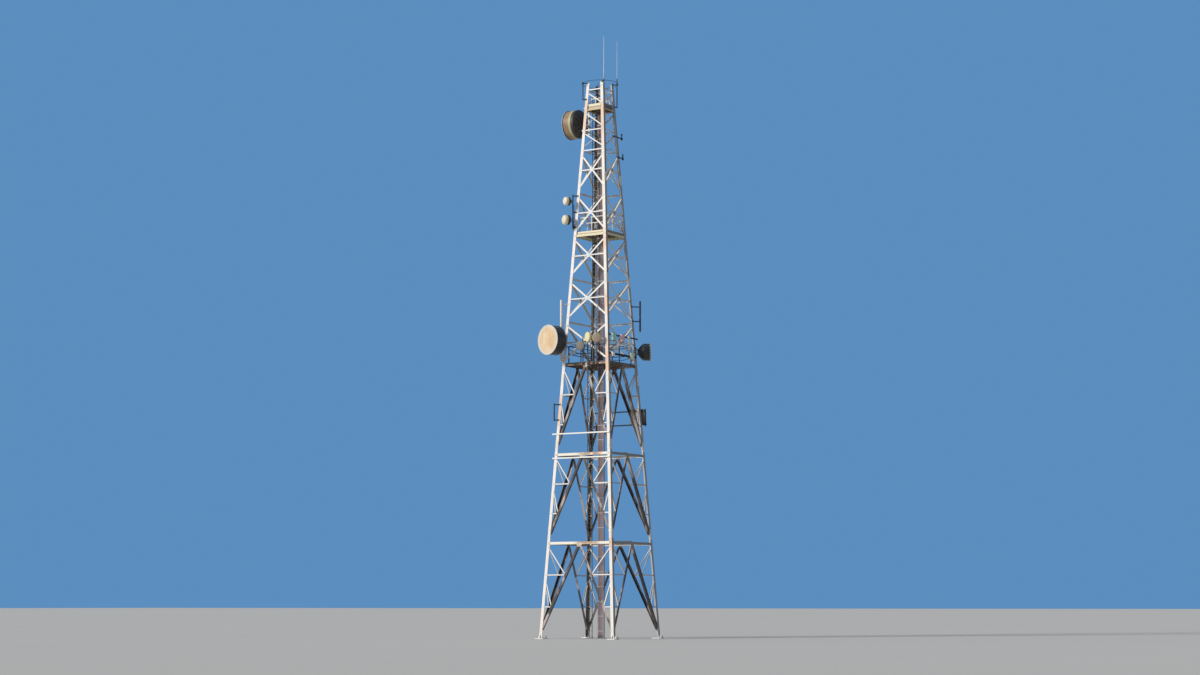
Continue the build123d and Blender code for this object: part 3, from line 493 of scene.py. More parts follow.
def zoned_drum():
    """The top drum: painted shade at the back, then a cream band, then a tan shroud, dark at the
    rim.
    """
    dish = DISHES["top_dish"]
    finish = Finish("tan_drum_shaded_back")
    chalk = faint_chalk(finish)
    forward = dish.apex.x - finish.axis("X")
    cream = forward.below(dish.bowl + 0.3, dish.bowl + 0.42)
    rim = forward.between(dish.depth - 0.075, dish.depth - 0.065)
    # Painted shade: the drum's back, facing the tower and away from the light, is made near-black.
    behind = forward.below(dish.bowl + 0.198, dish.bowl + 0.202)
    colour = finish.coat(
        (0.25, 0.165, 0.105),
        (chalk.between(0.35, 0.7), (0.36, 0.27, 0.17)),
        (cream, (0.44, 0.42, 0.23)),
        (rim * 0.85, (0.05, 0.037, 0.033)),
        (sheet_runs(finish) * 0.35, (0.16, 0.13, 0.1)),
        (behind, finish.mix(chalk, (0.03, 0.026, 0.028), (0.065, 0.05, 0.05))),
    )
    return sheet_surface(finish, colour, 0.45 + chalk * 0.2, chalk)


# Mesh building
def box_outline(width, height):
    x, y = width / 2, height / 2
    return [(-x, -y), (x, -y), (x, y), (-x, y)]


def eased_outline(width, height, corner, steps=4):
    """A box outline with rounded corners."""
    points = []
    for quarter, (sx, sy) in enumerate(((1, 1), (-1, 1), (-1, -1), (1, -1))):
        for step in range(steps + 1):
            angle = math.pi / 2 * (quarter + step / steps)
            x = sx * (width / 2 - corner) + corner * math.cos(angle)
            y = sy * (height / 2 - corner) + corner * math.sin(angle)
            points.append((x, y))
    return points


def ring_outline(radius, sides, turn=0.0):
    angles = [turn + 2 * math.pi * step / sides for step in range(sides)]
    return [(radius * math.cos(angle), radius * math.sin(angle)) for angle in angles]


def ring_points(centre, across, other, radius, sides):
    """Points round a circle, from two directions of its plane."""
    return [centre + across * x + other * y for x, y in ring_outline(radius, sides)]


def skin(rings):
    """Faces between neighbouring rings of points; a ring of one point is a tip."""
    faces = []
    for low, high in zip(rings, rings[1:]):
        count = max(len(low), len(high))
        for step in range(count):
            after = (step + 1) % count
            corners = (
                low[step % len(low)], low[after % len(low)],
                high[after % len(high)], high[step % len(high)],
            )
            face = tuple(dict.fromkeys(corners))
            if len(face) > 2:
                faces.append(face)
    return faces


def linked_object(name, data):
    """An object in the scene."""
    made = bpy.data.objects.new(name, data)
    bpy.context.scene.collection.objects.link(made)
    return made


class Shape:
    """Points and faces of one piece, gathered from many small forms."""

    def __init__(self):
        self.points = []
        self.faces = []
        self.current = 0

    def add(self, points, *groups):
        """Adds points and groups of faces, each with whether it looks rounded."""
        start = len(self.points)
        self.points += [tuple(point) for point in points]
        for faces, rounded in groups:
            for face in faces:
                self.faces.append(([start + index for index in face], rounded, self.current))

    def prism(self, outline, origin, plane, along, rounded=False):
        """An outline on a plane's two directions, drawn out along a vector."""
        right, up = plane
        near = [origin + right * x + up * y for x, y in outline]
        far = [point + along for point in near]
        count = len(outline)
        sides = skin([range(count), range(count, 2 * count)])
        first, last = tuple(range(count)), tuple(range(count, 2 * count))
        if right.cross(up).dot(along) > 0:
            first = first[::-1]
        else:
            last = last[::-1]
            sides = [side[::-1] for side in sides]
        self.add(near + far, (sides, rounded), ([first, last], False))

    def bar(self, start, end, width, thickness, side):
        """A flat or square bar between two points; its width lies along side."""
        start = Vector(start)
        along = Vector(end) - start
        across = (side - along * side.dot(along) / along.length_squared).normalized()
        other = along.cross(across).normalized()
        self.prism(box_outline(width, thickness), start, (across, other), along)

    def block(self, centre, plane, width, height, depth, corner=0.0):
        """A box, its back on the centre, drawn out along its plane's normal."""
        outline = box_outline(width, height)
        if corner:
            outline = eased_outline(width, height, corner)
        self.prism(outline, centre, plane, plane[0].cross(plane[1]) * depth)

    def tube(self, path, radius, sides):
        """A round tube along a list of points."""
        path = [Vector(point) for point in path]
        last = len(path) - 1
        across = None
        points = []
        for index, point in enumerate(path):
            ahead = (path[min(index + 1, last)] - path[max(index - 1, 0)]).normalized()
            if across is None:
                across = ahead.orthogonal().normalized()
            across = (across - ahead * across.dot(ahead)).normalized()
            points += ring_points(point, across, ahead.cross(across), radius, sides)
        rings = [range(start, start + sides) for start in range(0, len(points), sides)]
        ends = [tuple(reversed(rings[0])), tuple(rings[-1])]
        self.add(points, (skin(rings), True), (ends, False))

    def lathe(self, profile, origin, axis, segments, rounded=True):
        """A profile of (radius, height) pairs turned about an axis."""
        axis = axis.normalized()
        across = axis.orthogonal().normalized()
        other = axis.cross(across)
        points = []
        rings = []
        for radius, height in profile:
            ring = [origin + axis * height]
            if radius > 0:
                ring = ring_points(ring[0], across, other, radius, segments)
            rings.append(range(len(points), len(points) + len(ring)))
            points += ring
        self.add(points, (skin(rings), rounded))

    def band(self, inner, outer, low, high, origin, axis, segments, ease=0.0, rounded=False):
        """A raised ring from low to high along an axis."""
        profile = [(inner, low), (outer, low + ease), (outer, high - ease), (inner, high)]
        self.lathe(profile, origin, axis, segments, rounded)

    def bolt(self, place, normal, size, turn=0.0):
        """A hexagon head of a bolt of this size, on a washer."""
        place, normal = Vector(place), Vector(normal)
        right = normal.orthogonal().normalized()
        plane = (right, normal.cross(right))
        washer = normal * size * 0.16
        self.prism(ring_outline(size * 0.95, 8, turn), place, plane, washer)
        head = normal * size * 0.65
        self.prism(ring_outline(size * 0.85, 6, turn), place + washer, plane, head)

    def piece(self, name, *finishes, slot="pale_steel", replaces=(), ease=0.0):
        """Makes the object, gives it its finishes and hangs it on the mast's body."""
        mesh = bpy.data.meshes.new(name)
        faces, rounded, finish_of = zip(*self.faces)
        mesh.from_pydata(self.points, [], faces)
        mesh.polygons.foreach_set("use_smooth", rounded)
        for finish in finishes:
            mesh.materials.append(finish)
        mesh.polygons.foreach_set("material_index", finish_of)
        mesh.update()
        made = linked_object(name, mesh)
        if ease:
            easing = made.modifiers.new("eased_edges", "BEVEL")
            easing.width = ease
            easing.segments = 2
            easing.limit_method = "ANGLE"
            easing.angle_limit = math.radians(40)
        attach(made, "root")
        if replaces:
            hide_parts(*replaces)


def smooth_path(points, steps):
    """A smooth line through a list of points."""
    points = [Vector(point) for point in points]
    padded = [2 * points[0] - points[1], *points, 2 * points[-1] - points[-2]]
    path = []
    for index in range(len(points) - 1):
        before, near, far, after = padded[index : index + 4]
        bend = 2 * before - 5 * near + 4 * far - after
        twist = 3 * near - before - 3 * far + after
        for step in range(steps):
            t = step / steps
            path.append(0.5 * (2 * near + (far - before) * t + bend * t**2 + twist * t**3))
    return path + [points[-1]]


# The tower's faces
class Face:
    """One sloping face of the tower: right along it, up its slope, and outwards."""

    def __init__(self, turn):
        self.turn = Matrix.Rotation(math.radians(turn), 3, "Z")
        self.right = self.turn @ X_AXIS
        self.up = self.turn @ Vector((0, BATTER, 1)) / SLOPE
        self.out = self.turn @ Vector((0, -1, BATTER)) / SLOPE
        self.plane = (self.right, self.up)

    def point(self, x, z, depth=0.0):
        """A point at x along the face and a height, a depth in from the leg flanges."""
        return self.turn @ Vector((x, -half(z), z)) - self.out * depth


FACES = {"front": Face(0), "right": Face(90), "back": Face(180), "left": Face(270)}


def truss_bars(low, high, hand):
    """The main diagonal and the small bars of one side of a tall bay."""
    foot = (hand * half(low), low + FOOT_RISE)
    upper = high - (high - low) / 3
    lower = high - (high - low) * 2 / 3

    def on_diagonal(z):
        return (foot[0] * (high - z) / (high - foot[1]), z)

    def on_leg(z):
        return (hand * half(z), z)

    return [
        (foot, (0.0, high), DIAGONAL_WIDTH),
        (on_leg(upper), on_diagonal(upper), SLIM_BAR),
        (on_leg(lower), on_diagonal(lower), SLIM_BAR),
        (on_leg(high - TOP_RISE), on_diagonal(upper), SLIM_BAR),
        (on_leg(upper), on_diagonal(lower), SLIM_BAR),
    ]


def level_bar(z, width):
    return (-half(z), z), (half(z), z), width


def crossing_height(low, high):
    """Where the two diagonals of a crossed bay meet."""
    first, last = low + CROSS_RISE, high - CROSS_RISE
    return first + (last - first) * half(first) / (half(first) + half(last))


def face_bars(name):
    """Every bracing bar of one face that ends on the legs: two ends and a width."""
    bars = []
    for low, high in bays(LOWER_LEVELS):
        bars += truss_bars(low, high, -1) + truss_bars(low, high, 1)
        bars.append(level_bar(high, BROAD_BAR if high == LOWER_LEVELS[-1] else BEAM_WIDTH))
    for low, high in bays(CROSS_LEVELS):
        first, last = low + CROSS_RISE, high - CROSS_RISE
        for hand in (-1, 1):
            bars.append(((hand * half(first), first), (-hand * half(last), last), BROAD_BAR))
        bars.append(level_bar(crossing_height(low, high), SLIM_BAR))
    for low, high in bays(TOP_LEVELS):
        foot = low + (0.3 if high == TOP_LEVELS[-1] else TOP_RISE)
        head = high - TOP_RISE
        bars.append(((-half(head), head), (half(foot), foot), SLIM_BAR))
    bars += [level_bar(level, SLIM_BAR) for level in TOP_LEVELS]
    bars.append(level_bar(REST_LEVEL, BEAM_WIDTH))
    if name in ("back", "left"):
        bars += [level_bar(level, BROAD_BAR) for level in CROSS_LEVELS[1:-1] if level != REST_LEVEL]
    return bars


def through_bolt(shape, face, x, z, outer, inner=LAP, size=0.02):
    """A bolt head on the outside and its nut on the inside."""
    shape.bolt(face.point(x, z, outer), face.out, size, 0.3)
    shape.bolt(face.point(x, z, inner), -face.out, size, 0.1)


def add_end_bolts(shape, face, start, end, width):
    """Bolts where one bar laps the leg flanges."""
    run, rise = end[0] - start[0], end[1] - start[1]
    length = math.hypot(run, rise)
    step_x, step_z = run / length, rise / length
    if abs(step_x) < 0.15:
        return
    count, rows = (3, (-0.04, 0.04)) if width > 0.14 else (2, (0.0,))
    for (x, z), sign in ((start, 1), (end, -1)):
        if abs(abs(x) - half(z)) > 0.02:
            continue
        for index in range(count):
            reach = (0.075 + 0.045 * index) / abs(step_x)
            for row in rows:
                px = x + sign * step_x * reach - step_z * row
                pz = z + sign * step_z * reach + step_x * row
                if abs(px) >= half(pz) - LEG_FLANGE + 0.015:
                    through_bolt(shape, face, px, pz, 0.0)


def add_joint_bolts(shape, name):
    """Bolts where the bars lap the legs, and at the crossings and gusset plates."""
    face = FACES[name]
    for bar in face_bars(name):
        add_end_bolts(shape, face, *bar)
    for low, high in bays(CROSS_LEVELS):
        crossing = crossing_height(low, high)
        shape.prism(
            ring_outline(0.13, 6, math.pi / 2), face.point(0, crossing, LEG_WALL), face.plane,
            face.out * CROSS_PLATE_WALL,
        )
        outer = LEG_WALL - CROSS_PLATE_WALL
        for x, z in ((0, 0), (-0.07, 0.06), (0.07, 0.06), (-0.07, -0.06), (0.07, -0.06)):
            through_bolt(shape, face, x, crossing + z, outer, size=0.018)
    outer = LEG_WALL - GUSSET_WALL
    for high in LOWER_LEVELS[1:]:
        for hand in (-1, 1):
            lean = hand * half(high) * 0.9 / 5.2
            for index in range(3):
                drop = 0.075 + 0.05 * index
                for row in (-0.035, 0.035):
                    x = hand * 0.03 + lean * drop + row
                    through_bolt(shape, face, x, high - drop - 0.02, outer)
            for index in range(3):
                through_bolt(shape, face, hand * (0.06 + 0.05 * index), high + 0.01, outer)


def add_splice(shape, face, hand, level):
    """A bolted cover plate on the outside of one leg flange."""
    centre = hand * (half(level) - LEG_FLANGE / 2 - 0.004)
    shape.block(face.point(centre, level), face.plane, 0.16, 0.62, SPLICE_WALL, 0.012)
    for column in (-0.045, 0.045):
        for row in range(8):
            z = level - 0.26 + 0.0743 * row
            shift = hand * (half(z) - half(level))
            through_bolt(shape, face, centre + column + shift, z, -SPLICE_WALL, LEG_WALL)


for face_name, tower_face in FACES.items():
    bolts = Shape()
    add_joint_bolts(bolts, face_name)
    bolts.piece(f"{face_name}_joint_bolts", bolt_steel)
    splices = Shape()
    for level in (6.35, 11.75, 15.9, 22.05, 28.5):
        for side in (-1, 1):
            add_splice(splices, tower_face, side, level)
    splices.piece(f"{face_name}_leg_splices", pale_steel)


# Anchor bolts in the base plates
def add_anchor(shape, x, y, base, radius, height):
    """A threaded rod with a washer and two nuts."""
    place = Vector((x, y, base))
    shape.prism(ring_outline(radius * 2.4, 16), place, LEVEL_PLANE, UP * radius * 0.3)
    for level in (0.3, 2.2):
        nut = ring_outline(radius * 1.85, 6, 0.4 * level)
        shape.prism(nut, place + UP * radius * level, LEVEL_PLANE, UP * radius * 1.6)
    shape.prism(ring_outline(radius, 16), place, LEVEL_PLANE, UP * height, True)


def add_anchors(shape, x, y, reach_x, reach_y, *sizes):
    """Four anchors at the corners of a plate."""
    for dx in (-reach_x, reach_x):
        for dy in (-reach_y, reach_y):
            add_anchor(shape, x + dx, y + dy, *sizes)


anchors = Shape()
for sx, sy in LEG_CORNERS.values():
    spreads = (ANCHOR_SPREAD, ANCHOR_SPREAD)
    add_anchors(anchors, sx * FOOT_REACH, sy * FOOT_REACH, *spreads, 0.04, 0.018, 0.14)
add_anchors(anchors, *COLUMN_FOOT, 0.012, 0.009, 0.06)
anchors.piece("anchor_bolt_nuts", bolt_steel)


# Platforms of open grating
def deck_regions(low, high, hatch):
    """The rectangles of grating round the hatch and the cable slot."""
    regions = []
    edge = low.x
    for left, right, front in (hatch, CABLE_SLOT):
        if edge < left:
            regions.append((edge, left, low.y, high.y))
        regions += [(left, right, low.y, front), (left, right, SLOT_BACK, high.y)]
        edge = right
    return regions + [(edge, high.x, low.y, high.y)]


def evenly(low, high, pitch):
    """Places between two ends, about a pitch apart."""
    count = max(1, int((high - low) / pitch))
    return [low + (high - low) * index / count for index in range(1, count)]


def add_grating(shape, region, bottom, top):
    """Bearing bars with cross rods inside a flat frame."""
    x0, x1, y0, y1 = region
    depth = top - bottom
    middle = (bottom + top) / 2
    wall = 0.006
    rod = 0.008
    rod_level = top - 0.005
    for y in (y0 + wall / 2, y1 - wall / 2):
        shape.bar((x0, y, middle), (x1, y, middle), wall, depth, Y_AXIS)
    for x in (x0 + wall / 2, x1 - wall / 2):
        shape.bar((x, y0, middle), (x, y1, middle), wall, depth, X_AXIS)
    for x in evenly(x0, x1, BEARING_PITCH):
        shape.bar((x, y0 + wall, middle), (x, y1 - wall, middle), 0.004, depth, X_AXIS)
    for y in evenly(y0, y1, ROD_PITCH):
        shape.bar((x0 + wall, y, rod_level), (x1 - wall, y, rod_level), rod, rod, Y_AXIS)


def add_platform(node, hatch, toe, toe_finish):
    """The grating of one platform inside its frames, and its toe boards."""
    low, high = node_box(node)
    deck_top = low.z + DECK_WALL
    grating = Shape()
    for region in deck_regions(low, high, hatch):
        add_grating(grating, region, low.z, deck_top)
    grating.current = 1
    board_reach = high.x - toe * BATTER - 0.004
    board_half = board_reach - 0.209
    for face in FACES.values():
        out = face.turn @ -Y_AXIS
        place = out * (board_reach - 0.004) + UP * (deck_top + 0.0006 + toe / 2)
        run = face.right * board_half
        grating.bar(place - run, place + run, toe, 0.006, UP)
        for step in range(-2, 3):
            spot = place + run * (step / 2.2) - out * 0.01
            grating.bar(spot - UP * toe / 2, spot + UP * toe * 0.42, 0.04, 0.02, face.right)
    grating.piece(
        node.replace("_deck", "_grating"), grating_steel, toe_finish,
        slot="deck_grating", replaces=(node,),
    )


add_platform("main_platform_deck", (-1.0, -0.494, -0.76), 0.05, dark_steel)
add_platform("rest_platform_deck", (-0.63, -0.13, -0.76), 0.12, cream_steel)
add_platform("top_platform_deck", (-0.55, -0.13, -0.48), 0.3, cream_steel)


# Feeder cables on the tray
def add_feeders():
    """A flat row of round cables of several sizes, with clamps at the tray's rungs."""
    rng = random.Random(11)
    low, high = node_box("feeder_cables")
    back = high.y
    front = back - 0.052
    count = 8
    steps = 110
    cables = Shape()
    clamps = Shape()
    for index in range(count):
        radius = rng.choice((0.0235, 0.0245, 0.0255, 0.026))
        x = low.x + (high.x - low.x) * (index + 0.5) / count
        y = back - radius - 0.001
        cables.current = rng.choice((0, 0, 1, 1, 2))
        phase = rng.uniform(0, 6)
        path = []
        for step in range(steps + 1):
            z = low.z + (high.z - low.z) * step / steps
            path.append((x + 0.001 * math.sin(z * 2.1 + phase), y, z))
        cables.tube(path, radius, 12)
        cap = [(radius, 0), (radius * 0.7, 0.0), (0.0, 0.001)]
        cables.lathe(cap, Vector((x, y, high.z)), UP, 12)
    level = low.z + FIRST_CLAMP
    while level < high.z - 0.1:
        for z in (level - 0.014, level + 0.014):
            ends = [(x, front, z) for x in (low.x - 0.012, high.x + 0.012)]
            clamps.bar(*ends, 0.012, 0.008, UP)
        for x in (low.x - 0.006, high.x + 0.006):
            clamps.bar((x, back, level), (x, front, level), 0.01, 0.03, X_AXIS)
            clamps.bolt((x, front - 0.004, level), -Y_AXIS, 0.012)
        level += CLAMP_PITCH
    cables.piece("feeder_run", *jackets, slot="cable_jacket", replaces=("feeder_cables",))
    clamps.piece("feeder_clamps", bolt_steel, slot="grey_steel")


add_feeders()


# Dishes
def aim_vector(heading):
    """The level direction of a heading, in degrees from -Y towards -X."""
    angle = math.radians(heading)
    return Vector((-math.sin(angle), -math.cos(angle), 0))


def level_across(aim):
    return Vector((-aim.y, aim.x, 0))


def corner_point(corner, distance, height):
    """A point on one corner's diagonal."""
    sx, sy = LEG_CORNERS[corner]
    return Vector((sx * distance / math.sqrt(2), sy * distance / math.sqrt(2), height))


class Dish:
    """Where a dish's back point is, where it looks, and its sizes."""

    def __init__(self, pole, heading, stand, side, radius, bowl, depth):
        self.aim = aim_vector(heading)
        self.level = level_across(self.aim)
        self.apex = pole + self.aim * stand + self.level * side
        self.radius = radius
        self.bowl = bowl
        self.depth = depth

    def spoke(self, angle):
        return self.level * math.cos(angle) + UP * math.sin(angle)

    def point(self, radius, angle, height):
        """A point by radius and angle about the aim, and height along it."""
        return self.apex + self.aim * height + self.spoke(angle) * radius

    def rib_outline(self, hub, steps=8):
        """A rib behind the bowl, deeper near the hub."""
        near = []
        far = []
        for step in range(steps + 1):
            share = step / steps
            radius = hub + (self.radius - hub) * share
            bowl = self.bowl * (radius / self.radius) ** 2
            near.append((radius, bowl - 0.002))
            far.append((radius, bowl - 0.055 * (1 - 0.6 * share)))
        return near + far[::-1]


DISHES = {
    "front_dish": Dish(
        corner_point("front_left", 2.452, 18.22), 15.5, 0.25, 0.24, 0.905, 0.33, 1.05
    ),
    "top_dish": Dish(
        Vector((-(half(32.32) + 0.26), 0.3, 32.32)), 90, 0.335, 0, 0.905, 0.33, 1.12
    ),
    "right_dish": Dish(
        Vector((half(17.41) + 0.06, 1.46, 17.67)), 236.5, 0.17, 0, 0.53, 0.33, 0.74
    ),
}


def round_angles(count, turn=0.0):
    return [2 * math.pi * index / count + turn for index in range(count)]


def add_back_ribs(name, dish, count):
    """Stiffening ribs and a bolted hub behind the bowl."""
    ribs = Shape()
    hub = dish.radius * 0.18
    for angle in round_angles(count, math.pi / count):
        spoke = dish.spoke(angle)
        side = dish.aim.cross(spoke).normalized()
        ribs.prism(dish.rib_outline(hub), dish.apex - side * 0.004, (spoke, dish.aim), side * 0.008)
    hub_plate = [(hub * 1.25, -0.04), (hub * 1.25, -0.028), (hub * 0.4, -0.028)]
    ribs.lathe(hub_plate, dish.apex, dish.aim, 32, False)
    for angle in round_angles(8):
        ribs.bolt(dish.point(hub * 1.08, angle, -0.028), -dish.aim, 0.016)
    ribs.piece(f"{name}_back_ribs", shaded_dark_shroud, slot="dark_shroud")


def add_drum_hoops(name, dish, finish, slot):
    """Two hoops round the drum and three bolted seams along it."""
    hoops = Shape()
    near, far = dish.radius + 0.0005, dish.radius + 0.008
    for height, width in ((dish.bowl + 0.02, 0.03), (dish.depth - 0.16, 0.025)):
        hoops.band(near, far, height, height + width, dish.apex, dish.aim, 72, 0.003)
    for angle in round_angles(3, 0.9):
        spoke = dish.spoke(angle)
        start = dish.point(dish.radius + 0.002, angle, dish.bowl + 0.01)
        end = dish.point(dish.radius + 0.002, angle, dish.depth - 0.03)
        hoops.bar(start, end, 0.06, 0.005, dish.aim.cross(spoke))
        for step in range(7):
            hoops.bolt(start.lerp(end, (step + 0.5) / 7) + spoke * 0.0025, spoke, 0.01)
    hoops.piece(f"{name}_drum_hoops", finish, slot=slot)


def add_rim_clips(name, dish, count, width, finish):
    """Clips that hold the cover to the drum's rim."""
    clips = Shape()
    for angle in round_angles(count):
        side = dish.aim.cross(dish.spoke(angle))
        back = dish.point(dish.radius + 0.013, angle, dish.depth - 0.05)
        clips.bar(back, back + dish.aim * width * 0.6, width, 0.024, side)
        clips.bolt(back, -dish.aim, 0.014)
        front = dish.point(dish.radius - 0.012, angle, dish.depth + 0.0195)
        clips.bar(front, front + dish.aim * 0.006, width, 0.03, side)
    clips.piece(f"{name}_rim_clips", finish, slot="grey_steel")


def add_waveguide(name, dish, radius, points):
    """A stiff waveguide from the hub to the cable column, clipped to the steel."""
    start = dish.apex - dish.aim * 0.03
    path = smooth_path([start, start - dish.aim * 0.09, *points], 10)
    guide = Shape()
    guide.tube(path, radius, 12)
    flange = [(radius * 1.9, 0), (radius * 1.9, 0.015), (radius, 0.02)]
    guide.lathe(flange, start, -dish.aim, 20)
    for share in (0.35, 0.6, 0.85):
        index = int(share * (len(path) - 2))
        ahead = path[index + 1] - path[index]
        guide.band(radius, radius * 1.35, -0.012, 0.012, path[index], ahead, 12)
    guide.piece(f"{name}_waveguide", jackets[0], slot="cable_jacket")


top_drum_finish = zoned_drum()
for dish_name, rib_count, drum, drum_slot, clip_count, clip_width, clip_finish in (
    ("front_dish", 12, shaded_dark_shroud, "dark_shroud", 36, 0.05, bolt_steel),
    ("top_dish", 12, top_drum_finish, "pale_shroud", 30, 0.085, black_steel),
    ("right_dish", 10, shaded_dark_shroud, "dark_shroud", 24, 0.05, radome_white),
):
    add_back_ribs(dish_name, DISHES[dish_name], rib_count)
    add_drum_hoops(dish_name, DISHES[dish_name], drum, drum_slot)
    add_rim_clips(dish_name, DISHES[dish_name], clip_count, clip_width, clip_finish)
for dish_name, guide_radius, guide_points in (
    ("front_dish", 0.022, [
        (-1.34, -1.74, 17.95), (-1.22, -1.5, 17.7), (-0.9, -0.95, 17.5), (-0.3, -0.35, 17.3),
        (0.02, -0.2, 17.6), (0.03, -0.2, 18.4),
    ]),
    ("top_dish", 0.022, [
        (-1.0, 0.12, 32.15), (-0.72, 0.1, 31.95), (-0.45, 0.05, 31.75), (-0.2, -0.1, 31.5),
        (-0.02, -0.2, 31.15), (0.0, -0.2, 30.6),
    ]),
    ("right_dish", 0.018, [
        (1.72, 1.3, 17.55), (1.55, 1.15, 17.35), (1.2, 0.9, 17.15), (0.6, 0.3, 17.15),
        (0.32, -0.1, 17.4), (0.33, -0.2, 18.0),
    ]),
):
    add_waveguide(dish_name, DISHES[dish_name], guide_radius, guide_points)


def small_dish_forms(radius, edge, crown, seam):
    """The profiles of a small dish's cover and of the shell behind it."""
    cover = [(radius, seam), (radius, edge - 0.01)]
    for step in range(8):
        angle = step * math.pi / 16
        cover.append((radius * math.cos(angle), edge + crown * math.sin(angle)))
    cover.append((0.0, edge + crown))
    shell = [(0.0, 0.0), (0.06, 0.0), (0.06, 0.028)]
    for step in range(1, 9):
        r = 0.06 + (radius - 0.06) * step / 8
        shell.append((r, 0.0225 + 0.09 * (r / radius) ** 2))
    return cover, shell + [(radius, 0.125), (radius, seam)]


def add_small_dish(node, pole, height, heading, sizes, cover, shell):
    """A small shrouded dish with its radio box, arm and clamp round a pole."""
    radius, stand, edge, crown = sizes
    aim = aim_vector(heading)
    level = level_across(aim)
    place = Vector((pole[0], pole[1], height))
    apex = place + aim * stand
    unit = Shape()
    front, back = small_dish_forms(radius, edge, crown, edge - 0.12)
    unit.lathe(front, apex, aim, 56)
    unit.current = 1
    unit.lathe(back, apex, aim, 56)
    for hoop in (0.15, edge - 0.025):
        unit.band(radius - 0.001, radius - 0.0005, hoop, hoop + 0.016, apex, aim, 56, 0.002)
    unit.current = 2
    unit.block(apex - aim * 0.012, (level, UP), 0.16, 0.2, -0.055, 0.02)
    for fin in range(7):
        spot = apex - aim * 0.067 + level * (0.02 * fin - 0.06)
        unit.block(spot, (level, UP), 0.004, 0.17, -0.02)
    unit.bar(place + aim * 0.02, apex + aim * 0.01, 0.05, 0.05, UP)
    near, far = DISH_POLE_RADIUS + 0.001, DISH_POLE_RADIUS + 0.014
    for rise in (-0.035, 0.035):
        unit.band(near, far, rise - 0.008, rise + 0.008, place, UP, 24)
        for side in (-1, 1):
            beside = level * side * (DISH_POLE_RADIUS + 0.006) + aim * 0.02
            unit.bolt(place + UP * rise + beside, -aim, 0.01)
    unit.piece(f"{node}_unit", cover, shell, grey_steel, slot="small_dish_white", replaces=(node,))


small_pole = corner_point("front_left", 1.735, 0)
platform_y = -(half(16.834) + 0.09)
upper_sizes = (0.265, 0.15, 0.36, 0.14)
lower_sizes = (0.305, 0.17, 0.4, 0.15)
left_pole, right_pole, low_pole = ((x, platform_y) for x in (0.595, 0.885, -0.13))
for small_dish in (
    ("upper_small_dish", small_pole, 27.05, 30.0, upper_sizes, radome_white, shaded_dark_shroud),
    ("lower_small_dish", small_pole, 25.86, 30.0, lower_sizes, radome_white, shaded_dark_shroud),
    ("platform_dish_left", left_pole, 18.35, 26.5, (0.3, 0.13, 0.26, 0.04),
     radome_yellow, case_grey),
    ("platform_dish_right", right_pole, 18.26, -33.5, (0.29, 0.13, 0.26, 0.04),
     radome_beige, shaded_dark_shroud),
    ("platform_dish_low", low_pole, 17.83, -8.0, (0.285, 0.13, 0.26, 0.04),
     radome_grey, shaded_dark_shroud),
):
    add_small_dish(*small_dish)

# Thin cables from the small dishes' boxes down their poles and in to the column
jumpers = Shape()
for pole, top, low, turn, end in (
    (left_pole, 18.12, 17.3, (0.5, -0.9, 17.0), (0.2, -0.22, 17.25)),
    (right_pole, 18.03, 17.35, (0.7, -0.8, 17.05), (0.26, -0.22, 17.4)),
    (low_pole, 17.6, 17.2, (-0.1, -0.9, 16.98), (0.05, -0.22, 17.2)),
    (small_pole, 26.85, 25.3, (-0.75, -0.7, 25.15), (-0.05, -0.22, 25.5)),
    (small_pole, 25.65, 25.2, (-0.7, -0.75, 25.1), (0.0, -0.22, 25.45)),
):
    turn, end = Vector(turn), Vector(end)
    for offset in (-0.012, 0.014):
        beside = Vector((pole[0] + 0.055 + offset, pole[1] + 0.055, 0))
        jumpers.tube(smooth_path([
            beside + UP * top, beside + UP * (top + low) / 2 + X_AXIS * 0.01, beside + UP * low,
            turn + UP * offset, end - UP * 0.1, end + UP * (0.4 + offset * 8),
        ], 8), 0.0095, 8)
jumpers.piece("dish_jumper_cables", jackets[0], slot="cable_jacket")

# A sleeve aerial on the right side pole, and hubs at the ends of the upper right bars
sleeves = Shape()
side_pole = corner_point("back_right", 2.565, 0)
for low, high in ((19.02, 19.9), (19.94, 20.86)):
    sleeves.band(0.04, 0.056, low, high, side_pole, UP, 20, 0.015, True)
for level, knob in ((29.97, 0.16), (31.26, 0.27)):
    stub = Vector((half(level) + 0.06, 1.19, level))
    sleeves.band(0.03, 0.062, -0.1, 0.05, stub, UP, 20, 0.012, True)
    sleeves.band(0.03, 0.05, knob - 0.07, knob + 0.02, stub, UP, 20, 0.012, True)
sleeves.piece("side_aerial_sleeves", black_steel, slot="grey_steel")


# Whip aerials
def add_whip(node, base_radius, tip_radius, base_length):
    """A tapered rod on a metal ferrule, with rings where its sections join."""
    low, high = node_box(node)
    foot = (low + high) / 2
    foot.z = low.z
    length = high.z - low.z
    start = base_length + 0.01
    whip = Shape()
    whip.current = 1
    whip.lathe([
        (0, 0), (base_radius, 0), (base_radius, base_length * 0.8),
        (base_radius * 0.72, base_length), (tip_radius * 1.6, base_length + 0.02),
    ], foot, UP, 20)
    whip.current = 0
    rod = [
        (tip_radius * (1.45 - 0.75 * step / 8), start + (length - start - 0.01) * step / 8)
        for step in range(9)
    ]
    whip.lathe([*rod, (0, length)], foot, UP, 16)
    for share in (0.3, 0.62):
        at = start + (length - start) * share
        whip.band(tip_radius * 0.9, tip_radius * 1.5, at - 0.03, at + 0.03, foot, UP, 16, 0.01, True)
    whip.piece(f"{node}_rod", aerial_white, bolt_steel, slot="aerial_white", replaces=(node,))


add_whip("front_whip_aerial", 0.03, 0.014, 0.7)
add_whip("right_whip_aerial", 0.014, 0.0095, 0.12)


